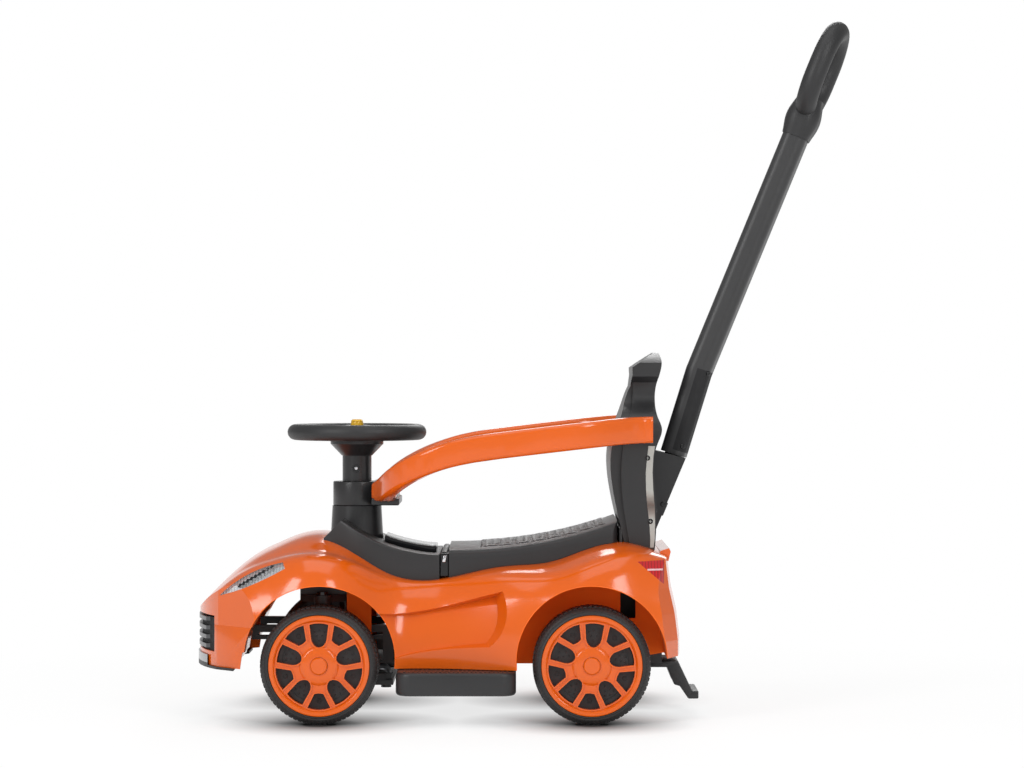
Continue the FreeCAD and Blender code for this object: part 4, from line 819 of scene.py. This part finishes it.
@dataclass
class RoundedMouldings:
    """CAD mouldings whose sharp edges are shown rounded, as a mould leaves them."""

    sharp: float = 40.0
    flat: float = 1.5

    def build(self) -> None:
        """Merge a copy of each node, make its flat faces whole, round it and show it in the node's place."""
        rows = [
            ("front_bumper", 0.0060, 4, True, Finish.ORANGE, "car_body"),
            ("guard_left", 0.0024, 3, True, Finish.ORANGE, "car_body"),
            ("guard_right", 0.0024, 3, True, Finish.ORANGE, "car_body"),
            ("anti_tip_bracket", 0.0014, 2, False, Finish.BLACK, "car_body"),
            ("guard_collar", 0.0016, 3, False, Finish.SATIN, "car_body"),
            ("console_panel", 0.0014, 3, False, Finish.GLOSS, "car_body"),
            ("horn_button", 0.0030, 4, False, Finish.YELLOW, "horn_button")]
        for node, width, segments, clamp, finish, body in rows:
            piece = copy_to(NODES[node], f"{node}_rounded", Matrix.Identity(4))
            open_mesh(piece)
            bpy.ops.mesh.remove_doubles(threshold=MERGE_DISTANCE)
            bpy.ops.mesh.dissolve_limited(angle_limit=math.radians(self.flat))
            bpy.ops.mesh.customdata_custom_splitnormals_clear()
            bpy.ops.object.mode_set(mode="OBJECT")
            soften(piece, width, segments, self.sharp, clamp)
            hand_over(piece, finish, body, SLOTS[node], [node])


@dataclass
class Sided:
    """Sub-assembly of one side of the car."""

    side: Side

    def name(self, piece: str) -> str:
        """Name of a piece or node of this side."""
        return f"{piece}_{self.side.label}"

    def out(self, distance: float) -> float:
        """Y on this side, from a distance off the car's middle."""
        return self.side.value * distance

    def touch(self, node: str, x: float, z: float) -> tuple[Vector, Vector]:
        """Place and normal where a level line from this side first meets a CAD node."""
        return touch(node, (x, self.out(OUTSIDE), z), (0, self.out(-1), 0))


@dataclass
class BackEdge(Sided):
    """Painted highlight: a pale band along the rear edge of one side of the backrest, for the light on its rounded
    edge.

    Each row gives the height, front edge and rear edge of the band.
    """

    rows: tuple[Point, ...] = (
        (0.3425, 0.1539, 0.1622), (0.3299, 0.1525, 0.1602), (0.3092, 0.1507, 0.1592),
        (0.2886, 0.1510, 0.1600), (0.2676, 0.1525, 0.1618), (0.2469, 0.1551, 0.1624),
        (0.2261, 0.1564, 0.1620), (0.2150, 0.1562, 0.1606))
    proud: float = 0.0006

    def build(self) -> None:
        """Lay the painted highlight band on the shell."""
        band = join([block(lambda co: self._corner(co, upper, lower), "band")
                     for upper, lower in zip(self.rows, self.rows[1:])])
        open_mesh(band)
        close_mesh()
        band.name = self.name("backrest_band")
        hand_over(band, Finish.EDGE, "car_body", "black_plastic")

    def _corner(self, co: Vector, upper: Point, lower: Point) -> Point:
        """Corner of one length of the band.

        Args:
            co: Corner of a cube of side two.
            upper: Row of its upper end.
            lower: Row of its lower end.

        Returns:
            The corner's place on the shell.
        """
        height, front, rear = upper if co.z > 0 else lower
        x = rear if co.x > 0 else front
        deep = self.touch("backrest_rear_shell", x, height)[0].y
        return x, deep + self.out(self.proud * co.y), height


@dataclass
class Footrest(Sided):
    """Side step with rounded ends and a ribbed tread."""

    low: Point = (-0.1600, 0.0940, 0.0380)
    high: Point = (-0.0120, 0.1900, 0.0680)
    corner: float = 0.0190
    corner_steps: int = 8
    edge: float = 0.0046
    edge_angle: float = 60.0
    rib_count: int = 24
    rib_rise: float = 0.0012
    rib_share: float = 0.30
    rib_taper: float = 0.7
    rib_sunk: float = 0.4
    rib_middle: float = 0.142
    rib_half: float = 0.040
    margin: float = 0.008

    def build(self) -> None:
        """Model the step and the ribs on it."""
        top = self.high[2] - self.rib_rise
        step = prism(self._outline(), self.low[2], top, "step")
        soften(step, self.edge, 4, self.edge_angle)
        pitch = (self.high[0] - self.low[0] - 2 * self.margin) / self.rib_count
        ribs = []
        for index in range(self.rib_count):
            x = self.low[0] + self.margin + pitch * (index + 0.5)
            ribs.append(block(lambda co: (
                x + self.rib_share * pitch * co.x * (self.rib_taper if co.z > 0 else 1.0),
                self.out(self.rib_middle + self.rib_half * co.y),
                top + self.rib_rise / 2 * (co.z - (0.0 if co.z > 0 else self.rib_sunk))), "rib"))
        join([step, *ribs]).name = self.name("ribbed_footrest")
        hand_over(step, Finish.BLACK, "car_body", "black_plastic", [self.name("footrest")])

    def _outline(self) -> list[Plan]:
        """Plan of the step with its outer corners rounded.

        Returns:
            The corners in metres.
        """
        inner = self.out(self.low[1])
        points = [(self.high[0], inner), (self.low[0], inner)]
        ends = ((self.low[0] + self.corner, math.pi), (self.high[0] - self.corner, math.pi / 2))
        for centre_x, start in ends:
            for index in range(self.corner_steps + 1):
                angle = start - index / self.corner_steps * math.pi / 2
                points.append((centre_x + self.corner * math.cos(angle),
                               self.out(self.high[1] - self.corner + self.corner * math.sin(angle))))
        return points


@dataclass
class Wheels:
    """Four road wheels: blow-moulded tyre with its web, and a spoked cover."""

    track_half: float = 0.140
    radius: float = 0.073
    shoulder: float = 0.0718
    web_face: float = 0.0120
    spoke_face: float = 0.0205
    lip_face: float = 0.0226
    lip_width: float = 0.0016
    rear_roll: float = -4.0
    spoke_pairs: int = 5
    tread_count: int = 72
    tread_reach: Plan = (0.0016, 0.0188)
    tread_share: float = 0.37
    tread_taper: float = 0.9
    tread_slant: float = 0.22
    tread_root: float = 0.001
    lug_count: int = 90
    lug_radii: Plan = (0.0672, 0.0708)
    lug_heights: Plan = (0.0236, 0.0206)
    lug_rise: float = 0.0026
    lug_half: float = 0.0013
    stud_size: Plan = (0.0011, 0.0010)
    stud_root: float = 0.0004
    boss_sizes: tuple[Plan, Plan] = ((0.0030, 0.0007), (0.0013, 0.0014))
    boss_radius: float = 0.0440
    band_radii: Plan = (0.0468, 0.0512)
    band_angle: float = 17.0
    band_top: float = 0.0143
    band_root: float = 0.0005
    lip_root: float = 0.002
    cut: Plan = (0.010, 0.030)
    edge: float = 0.00045
    edge_angle: float = 38.0

    def build(self) -> None:
        """Model one tyre and one cover and copy them to the four wheels."""
        tyre, cover = self._tyre(), self._cover()
        rows = ((tyre, "treaded_tyre", Finish.TYRE, "wheel_plastic", "tyre"),
                (cover, "spoked_cover", Finish.ORANGE, "orange_plastic", "wheel_cover"))
        for axle in Axle:
            for side in Side:
                wheel = f"{axle.name.lower()}_{side.label}"
                matrix = self._seat(axle, side)
                for master, name, finish, slot, node in rows:
                    piece = copy_to(master, f"{name}_{wheel}", matrix)
                    hand_over(piece, finish, f"wheel_{wheel}", slot, [f"{node}_{wheel}"])
        bpy.data.objects.remove(tyre)
        bpy.data.objects.remove(cover)

    def _seat(self, axle: Axle, side: Side) -> Matrix:
        """Place of a wheel whose own axis is Z, outwards.

        Args:
            axle: Axle of the wheel.
            side: Side of the wheel.

        Returns:
            The wheel's matrix.
        """
        centre = Matrix.Translation((axle.value, side.value * self.track_half, self.radius))
        half_turn = about_z(math.pi if side is Side.RIGHT else 0.0)
        roll = about_z(math.radians(self.rear_roll if axle is Axle.REAR else 0.0))
        return centre @ half_turn @ Matrix.Rotation(math.pi / 2, 4, "X") @ roll

    def _tyre(self) -> Piece:
        """Tyre with tread blocks, shoulder lugs and the studded web.

        Returns:
            The tyre round Z.
        """
        profile = [
            (0.0630, 0.0250), (0.0640, 0.0253), (0.0652, 0.0247), (0.0664, 0.0250), (0.0684, 0.0244),
            (0.0702, 0.0226), (self.shoulder, 0.0195), (self.shoulder, -0.0195), (0.0702, -0.0226),
            (0.0684, -0.0244), (0.0660, -0.0250), (0.0640, -0.0250), (0.0640, 0.0080), (0.0140, 0.0080),
            (0.0140, -0.0297), (0.0051, -0.0297), (0.0051, self.web_face), (0.0630, self.web_face)]
        pieces = [spun(profile, 96, "tyre_master")]
        for row in (-1, 1):
            for corner, count in ((self._tread_corner, self.tread_count), (self._lug_corner, self.lug_count)):
                pieces.append(repeat(block(lambda co: corner(co, row), "tread"), count))
        return join(pieces + self._studs())

    def _tread_corner(self, co: Vector, row: int) -> Point:
        """Corner of a slanted tread block.

        Args:
            co: Corner of a cube of side two.
            row: Outer row is 1, inner row is -1.

        Returns:
            The corner's place.
        """
        pitch = 2 * math.pi * self.radius / self.tread_count
        outer = co.x > 0
        radius = self.radius if outer else self.shoulder - self.tread_root
        reach = self.tread_reach[0] if co.z * row < 0 else self.tread_reach[1]
        length = self.tread_share * pitch * co.y * (self.tread_taper if outer else 1.0)
        angle = (length + reach * self.tread_slant + (pitch / 2 if row > 0 else 0.0)) / self.radius
        return radius * math.cos(angle), radius * math.sin(angle), row * reach

    def _lug_corner(self, co: Vector, row: int) -> Point:
        """Corner of a small lug on the tyre's shoulder.

        Args:
            co: Corner of a cube of side two.
            row: Outer side is 1, inner side is -1.

        Returns:
            The corner's place.
        """
        outer = int(co.x > 0)
        radius = self.lug_radii[outer]
        height = self.lug_heights[outer] + (self.lug_rise if co.z * row > 0 else 0.0)
        angle = self.lug_half * co.y / radius
        return radius * math.cos(angle), radius * math.sin(angle), row * height

    def _studs(self) -> list[Piece]:
        """Small studs and one raised band in the openings of the cover.

        Returns:
            The studs as separate meshes.
        """
        spots = [(-6.0, 41.0), (0.0, 43.0), (6.0, 41.0), (-3.4, 36.2), (3.4, 36.2), (0.0, 30.6)]
        made = [self._stud(x / 1000, y / 1000, *self.stud_size, 0.0) for x, y in spots]
        angles = [math.radians(self.band_angle) * (index / 6 - 1) for index in range(13)]
        band = [(radius * math.sin(angle), radius * math.cos(angle))
                for radius, step in zip(self.band_radii[::-1], (1, -1)) for angle in angles[::step]]
        foot = self.web_face - self.band_root
        made.append(self._five(prism(band, foot, self.band_top, "band"), about_z(0.0)))
        return made + [self._stud(0.0, self.boss_radius, *size, FIFTH_HALF) for size in self.boss_sizes]

    def _stud(self, x: float, y: float, radius: float, rise: float, turn: float) -> Piece:
        """Five studs round the wheel.

        Args:
            x: Place across the opening.
            y: Place outwards.
            radius: Radius of the stud.
            rise: Its height above the web.
            turn: Turn about the wheel's axis.

        Returns:
            The studs as one mesh.
        """
        clear()
        depth = rise + self.stud_root
        bpy.ops.mesh.primitive_cylinder_add(vertices=12, radius=radius, depth=depth)
        stud = named("stud")
        soften(stud, radius * 0.35, 1)
        spot = Matrix.Translation((x, y, self.web_face - self.stud_root + depth / 2))
        return self._five(stud, about_z(turn) @ spot)

    def _cover(self) -> Piece:
        """Cover with five double spokes and raised lips round its openings.

        Returns:
            The cover round Z.
        """
        profile = [
            (0.0110, 0.0120), (0.0627, 0.0120), (0.0627, 0.0234), (0.0620, 0.0246), (0.0607, 0.0250),
            (0.0585, 0.0250), (0.0568, 0.0243), (0.0556, 0.0222), (0.0545, 0.0212),
            (0.0245, self.spoke_face), (0.0222, 0.0226), (0.0205, 0.0236), (0.0110, 0.0238)]
        cover = spun(profile, 120, "cover_master")
        petal = self._mirrored([(0.0, 52.6), (6.0, 52.2), (11.7, 50.8), (9.6, 33.0), (8.6, 29.4),
                                (6.6, 26.2), (3.6, 23.6), (0.0, 22.6)])
        window = self._mirrored([(0.0, 54.2), (7.2, 53.6), (14.2, 51.6), (5.6, 34.4), (0.0, 33.6)])
        shapes = [(petal, 0.0), (window, FIFTH_HALF)]
        for points, turn in shapes:
            wider = self._grown(points, self.lip_width)
            lip = prism(wider, self.spoke_face - self.lip_root, self.lip_face, "lip")
            carve(cover, self._five(lip, about_z(turn)), "UNION")
        for points, turn in shapes:
            carve(cover, self._five(prism(points, *self.cut, "opening"), about_z(turn)))
        soften(cover, self.edge, 2, self.edge_angle)
        return cover

    @staticmethod
    def _mirrored(half: Sequence[Plan]) -> list[Plan]:
        """Whole outline in metres from its right half in millimetres."""
        left = [(-x, y) for x, y in reversed(half) if x > 0]
        return [(x / 1000, y / 1000) for x, y in [*half, *left]]

    @staticmethod
    def _grown(points: Sequence[Plan], by: float) -> list[Plan]:
        """Outline moved outwards by a width.

        Args:
            points: Corners, clockwise.
            by: Width in metres.

        Returns:
            The wider outline.
        """
        made = []
        for index, here in enumerate(points):
            corner = Vector(here)
            before = (corner - Vector(points[index - 1])).normalized()
            after = (Vector(points[(index + 1) % len(points)]) - corner).normalized()
            out = Vector((-before.y - after.y, before.x + after.x)).normalized()
            reach = by / max(0.5, out.dot(Vector((-before.y, before.x))))
            made.append(tuple(corner + out * reach))
        return made

    def _five(self, piece: Piece, matrix: Matrix) -> Piece:
        """Move a piece and repeat it five times round the wheel."""
        piece.data.transform(matrix)
        return repeat(piece, self.spoke_pairs)


@dataclass
class SeatQuilt:
    """Quilted field moulded into the top of the seat lid."""

    front: float = -0.060
    rear: float = 0.104
    half: float = 0.078
    step: float = 0.0015
    above: float = 0.32
    thickness: float = 0.0016
    diamond: Plan = (0.020, 0.027)
    groove: float = 0.0013
    groove_width: float = 0.26
    raised: float = 0.0012
    sunk: float = 0.0010
    border: float = 0.006

    def build(self) -> None:
        """Lay a grid on the seat and puff its diamonds."""
        clear()
        long, wide = self.rear - self.front, 2 * self.half
        bpy.ops.mesh.primitive_grid_add(
            x_subdivisions=round(long / self.step), y_subdivisions=round(wide / self.step), size=1.0)
        quilt = named("seat_quilt")
        quilt.data.transform(Matrix.Translation(((self.front + self.rear) / 2, 0.0, self.above))
                             @ Matrix.Diagonal((long, wide, 1.0, 1.0)))
        apply(quilt, "SHRINKWRAP", target=NODES["seat_lid"], wrap_method="PROJECT", use_project_z=True,
              use_negative_direction=True, use_positive_direction=False)
        for vertex in quilt.data.vertices:
            vertex.co.z += self._height(vertex.co.x, vertex.co.y)
        apply(quilt, "SOLIDIFY", thickness=self.thickness, offset=-1.0)
        hand_over(quilt, Finish.BLACK, "seat_lid", "black_plastic")

    def _height(self, x: float, y: float) -> float:
        """Height of the quilt above the seat.

        Args:
            x: Place along the car.
            y: Place across it.

        Returns:
            The height in metres, below zero at the field's edge.
        """
        first = abs(math.sin(math.pi * (x / self.diamond[0] + y / self.diamond[1])))
        second = abs(math.sin(math.pi * (x / self.diamond[0] - y / self.diamond[1])))
        crown = self.raised - self.groove * math.exp(-((min(first, second) / self.groove_width) ** 2))
        edge = min(x - self.front, self.rear - x, self.half - abs(y)) / self.border
        share = max(0.0, min(1.0, edge))
        return -self.sunk + share * share * (3 - 2 * share) * (self.sunk + crown)


@dataclass
class HingeStrap(Sided):
    """Hinge strap in the joint line in front of the seat, with its clip."""

    rear: float = -0.0968
    front: float = -0.1068
    top: float = 0.2075
    foot: float = 0.1790
    level: float = 0.2000
    steps: int = 6
    sunk: float = 0.0056
    thick: float = 0.0030
    overlap: float = 1.05
    probe: float = 0.008
    voxel: float = 0.0007
    clip_sunk: float = 0.0024
    clip_half: Point = (0.0022, 0.0010, 0.0042)
    clip_lean: float = 0.0008
    clip_height: float = 0.2010
    clip_edge: float = 0.0009

    def build(self) -> None:
        """Make a glossy strap, flush with the console's side, and the bright clip near its top."""
        middle, half = (self.front + self.rear) / 2, (self.rear - self.front) / 2
        tall = (self.top - self.foot) / self.steps / 2
        pieces = []
        for index in range(self.steps):
            high = self.foot + (self.top - self.foot) * ((index + 0.5) / self.steps)
            deep = self._face(min(high, self.level)) - self.sunk
            pieces.append(block(lambda co: (
                middle + half * co.x, self.out(deep + self.thick * co.y),
                high + tall * self.overlap * co.z), "strap"))
        strap = join(pieces)
        strap.name = self.name("hinge_strap")
        apply(strap, "REMESH", mode="VOXEL", voxel_size=self.voxel)
        apply(strap, "SMOOTH", factor=0.5, iterations=6)
        hand_over(strap, Finish.GLOSS, "car_body", "gloss_black_plastic")
        deep = self._face(self.level) - self.clip_sunk
        long, thick, tall = self.clip_half
        clip = block(lambda co: (
            middle + long * co.x + self.clip_lean * co.z, self.out(deep + thick * co.y),
            self.clip_height + tall * co.z), self.name("hinge_clip"))
        soften(clip, self.clip_edge, 3)
        hand_over(clip, Finish.CHROME, "car_body", "steel")

    def _face(self, height: float) -> float:
        """Distance of the console's side from the car's middle."""
        return abs(self.touch("console", self.front - self.probe, height)[0].y)


@dataclass
class SeatCurb:
    """Black curb that closes the slit between the seat and the backrest."""

    middle: Point = (0.1196, 0.0, 0.2230)
    half: Point = (0.0022, 0.088, 0.0160)
    edge: float = 0.0015

    def build(self) -> None:
        """Make the curb."""
        curb = brick(self.half, "seat_curb", self.middle)
        soften(curb, self.edge, 2)
        hand_over(curb, Finish.BLACK, "car_body", "black_plastic")


@dataclass
class Lamps(Sided):
    """Parts on the headlight and the tail lamp of one side."""

    strip_ends: tuple[Plan, Plan] = ((-0.356, 0.170), (-0.312, 0.196))
    strip_cells: int = 9
    strip_half: Point = (0.0026, 0.0030, 0.0006)
    strip_edge: float = 0.0004
    stripe_cells: int = 12
    stripe_half: Point = (0.0014, 0.0012, 0.0003)
    stripe_level: float = 0.62
    stripe_margin: float = 0.002
    stripe_length: float = 0.026

    def build(self) -> None:
        """Make black cells just under the headlight lens and a pale stripe across the tail lens, which is a painted
        highlight.
        """
        (x, z), (rear_x, rear_z) = self.strip_ends
        shares = [(index + 0.5) / self.strip_cells for index in range(self.strip_cells)]
        strip = self._row("headlight_lens", [(x + (rear_x - x) * share, z + (rear_z - z) * share)
                                             for share in shares], self.strip_half, self.strip_edge)
        strip.name = self.name("headlight_strip")
        hand_over(strip, Finish.GLOSS, "car_body", "gloss_black_plastic")
        # The stripe's pale cells are a painted highlight on the tail lens.
        low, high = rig.box(self.name("tail_lens"))
        height = low[2] + self.stripe_level * (high[2] - low[2])
        start, pitch = high[0] - self.stripe_margin, self.stripe_length / self.stripe_cells
        stripe = self._row("tail_lens", [(start - pitch * (index + 0.5), height)
                                         for index in range(self.stripe_cells)], self.stripe_half)
        stripe.name = self.name("tail_stripe")
        hand_over(stripe, Finish.PALE, "car_body", "red_lens")

    def _row(self, lens: str, spots: Iterable[Plan], half: Point, edge: float = 0.0) -> Piece:
        """Row of small cells on a lens, left out where the lens ends.

        Args:
            lens: Name of the lens, without its side.
            spots: X and Z of each cell.
            half: Half sizes of a cell.
            edge: Width of its rounded edges; a rounded cell lies under the surface.

        Returns:
            The cells as one mesh.
        """
        cells = []
        for x, z in spots:
            try:
                place, normal = self.touch(self.name(lens), x, z)
            except ValueError:
                continue
            cell = brick(half, "cell")
            if edge:
                soften(cell, edge, 1)
                place = place - normal * half[2]
            cell.data.transform(facing(place, normal))
            cells.append(cell)
        return join(cells)


@dataclass
class Screws:
    """Recessed screw heads that hold the mouldings together."""

    radius: float = 0.0034
    rise: float = 0.0012
    slot_half: Point = (0.0019, 0.00045, 0.0006)
    slot_height: float = 0.0010
    core_scale: float = 0.62
    core_sunk: float = 0.0002

    def build(self) -> None:
        """Model one screw and copy it to every place."""
        screw = self._screw()
        sideways, forwards = (0, -1, 0), (-1, 0, 0)
        pairs = [
            ("socket_screw", "handle_socket", (0.1755, OUTSIDE, 0.2665), sideways),
            ("back_screw_lower", "backrest_rear_shell", (0.40, 0.080, 0.262), forwards),
            ("band_screw_upper", "backrest_rear_shell", (0.1530, OUTSIDE, 0.3274), sideways),
            ("band_screw_lower", "backrest_rear_shell", (0.1565, OUTSIDE, 0.2479), sideways)]
        for name, node, start, along in pairs:
            for side in Side:
                mirror = Vector((1, side.value, 1))
                spot = touch(node, Vector(start) * mirror, Vector(along) * mirror)
                self._fix(screw, f"{name}_{side.label}", spot, "car_body")
        for name, x, z in (("cover_screw_upper", 0.2340, 0.4330), ("cover_screw_lower", 0.2010, 0.3400)):
            self._fix(screw, name, touch("pole_cover", (x, -OUTSIDE, z), (0, 1, 0)), "push_handle")
        low, high = (Vector(corner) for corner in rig.box("steering_bolt"))
        middle = (low + high) / 2
        head = Matrix.Translation((middle.x, low.y + self.core_sunk, middle.z))
        core = copy_to(screw, "steering_bolt_core", head @ Matrix.Rotation(math.pi / 2, 4, "X")
                       @ Matrix.Scale(self.core_scale, 4))
        hand_over(core, Finish.CHROME, "steering", "steel")
        bpy.data.objects.remove(screw)

    def _fix(self, screw: Piece, name: str, spot: tuple[Vector, Vector], body: str) -> None:
        """Copy the screw to a place and normal on a body."""
        hand_over(copy_to(screw, name, facing(*spot)), Finish.GLOSS, body, "steel")

    def _screw(self) -> Piece:
        """Pan head with a cross recess.

        Returns:
            The screw along Z.
        """
        clear()
        bpy.ops.mesh.primitive_cylinder_add(vertices=28, radius=self.radius, depth=2 * self.rise)
        screw = named("screw_master")
        soften(screw, self.rise * 0.7, 3)
        for turn in (0.0, math.pi / 2):
            slot = brick(self.slot_half, "slot", (0, 0, self.slot_height))
            slot.data.transform(about_z(turn))
            carve(screw, slot)
        return screw


@dataclass
class Studio:
    """Camera at the photo's viewing angle, soft light and a pale floor."""

    camera_at: Point = (-0.017, -4.0, 0.444)
    focal_length: float = 109.5
    sensor_width: float = 36.0
    shift: float = -0.0186
    floor_half: float = 14.0
    floor_grey: float = 0.84
    # Colour of the shadow painted on the floor beneath the wheels.
    shadow_grey: float = 0.05
    floor_glow: float = 0.20
    bounce_glow: float = 0.26
    wheel_offset: float = 0.016
    world_levels: tuple[float, ...] = (0.46, 0.30, 0.40, 1.0)

    def build(self) -> None:
        """Set up camera, world, lights and floor."""
        self._camera()
        self._world()
        self._lights()
        self._floor()
        bpy.context.scene.view_settings.view_transform = "Standard"

    def _camera(self) -> None:
        """Camera level at the car's left side."""
        data = bpy.data.cameras.new("side_camera")
        data.lens = self.focal_length
        data.sensor_width = self.sensor_width
        data.shift_y = self.shift
        camera = bpy.data.objects.new("side_camera", data)
        camera.location = self.camera_at
        camera.rotation_euler = (math.pi / 2, 0.0, 0.0)
        bpy.context.scene.collection.objects.link(camera)
        bpy.context.scene.camera = camera

    def _world(self) -> None:
        """White backdrop that is greyer on the camera's side, softer as light."""
        world = bpy.data.worlds.new("studio")
        world.use_nodes = True
        bpy.context.scene.world = world
        sheet = NodeSheet(world.node_tree)
        along = sheet.node("ShaderNodeTexCoord", None, None, "Generated")
        behind, upward = sheet.axis(along, "Y"), sheet.axis(along, "Z")
        horizon = ((behind - 0.84) * 11.0).clipped() * (1.9 - 6.2 * upward).clipped()
        front, back, light, white = (
            sheet.node("ShaderNodeBackground", None, {"Color": (1, 1, 1, 1), "Strength": level})
            for level in self.world_levels)
        plain = sheet.mix(behind.clipped(), front, back)
        shown = sheet.mix((horizon + sheet.ray("Camera")).clipped(), plain, white)
        sheet.end("ShaderNodeOutputWorld", sheet.mix(sheet.seen(), light, shown))

    def _lights(self) -> None:
        """Soft lamps on the camera's side and above."""
        lamps = [
            ("front_lamp", (-1.9, -2.1, 1.7), (-0.1, 0.0, 0.20), 0.70, 1.80, 33.0),
            ("rear_lamp", (1.5, -2.4, 1.9), (0.1, 0.0, 0.20), 0.70, 1.80, 29.0),
            ("top_lamp", (0.0, -0.3, 2.6), (0.0, 0.0, 0.2), 1.8, 1.8, 12.0),
            ("far_lamp", (0.3, 2.6, 1.9), (0.0, 0.0, 0.2), 1.2, 1.2, 22.0),
            ("low_fill", (-0.1, -2.5, 0.30), (-0.1, 0.0, 0.15), 2.6, 0.5, 5.0)]
        for name, place, target, width, height, power in lamps:
            data = bpy.data.lights.new(name, "AREA")
            data.shape = "RECTANGLE"
            data.size, data.size_y = width, height
            data.energy = power
            lamp = bpy.data.objects.new(name, data)
            lamp.location = place
            lamp.rotation_euler = (Vector(target) - Vector(place)).to_track_quat("-Z", "Y").to_euler()
            lamp.visible_glossy = name != "low_fill"
            bpy.context.scene.collection.objects.link(lamp)

    def _floor(self) -> None:
        """Pale floor that keeps the car's shadow, has a shadow painted dark beneath the wheels, and is plain white far
        from it.
        """
        clear()
        bpy.ops.mesh.primitive_plane_add(size=2 * self.floor_half, location=(0, 0, 0))
        floor = named("floor")
        material = bpy.data.materials.new("pale_floor")
        material.use_nodes = True
        sheet = NodeSheet(material.node_tree)
        here = sheet.here()
        away = sheet.node("ShaderNodeVectorMath", {"operation": "LENGTH"}, {0: here}, "Value")
        folded = sheet.node("ShaderNodeVectorMath", {"operation": "ABSOLUTE"}, {0: here})
        across = sheet.axis(folded, "Y") - Wheels.track_half - self.wheel_offset
        wheels = sheet.from_axles(sheet.axis(here, "X"), across)
        far = (0.74 + 0.26 * ((away - 0.45) * 1.6).clipped()) * (wheels * 7.5 - 0.35).clipped()
        # Painted shadow: beneath the wheels the floor's colour fades to nearly black, whatever the lamps do.
        under = (wheels * 9.0 - 0.18).clipped() ** 0.7
        matt = sheet.matt(self.floor_grey)
        near = sheet.mix(under, sheet.matt(self.shadow_grey), sheet.total(matt, sheet.glow(self.floor_glow)))
        shown = sheet.mix(far, near, sheet.glow(1.0))
        bounce = sheet.total(matt, sheet.glow(self.bounce_glow))
        sheet.end("ShaderNodeOutputMaterial", sheet.mix(sheet.seen(), bounce, shown))
        floor.data.materials.append(material)
        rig.stage(floor)


def main() -> None:
    """Build and dress the car, then report its box."""
    logging.basicConfig(level=logging.INFO, format="%(name)s: %(message)s")
    clear()
    bpy.context.view_layer.update()
    CadNodes().dress()
    for kind in (RoundedMouldings, BackEdge, Footrest, Wheels, SeatQuilt, HingeStrap, SeatCurb, Lamps, Screws,
                 Studio):
        for assembly in [kind(side) for side in Side] if issubclass(kind, Sided) else [kind()]:
            assembly.build()
    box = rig.bounds()
    with open("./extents.json", "w") as out:
        json.dump({"cad": [list(corner) for corner in CAD_BOX],
                   "visual": [list(corner) for corner in box]}, out)
    LOG.info("visual box %s", [tuple(round(value, 4) for value in corner) for corner in box])


if __name__ == "__main__":
    main()
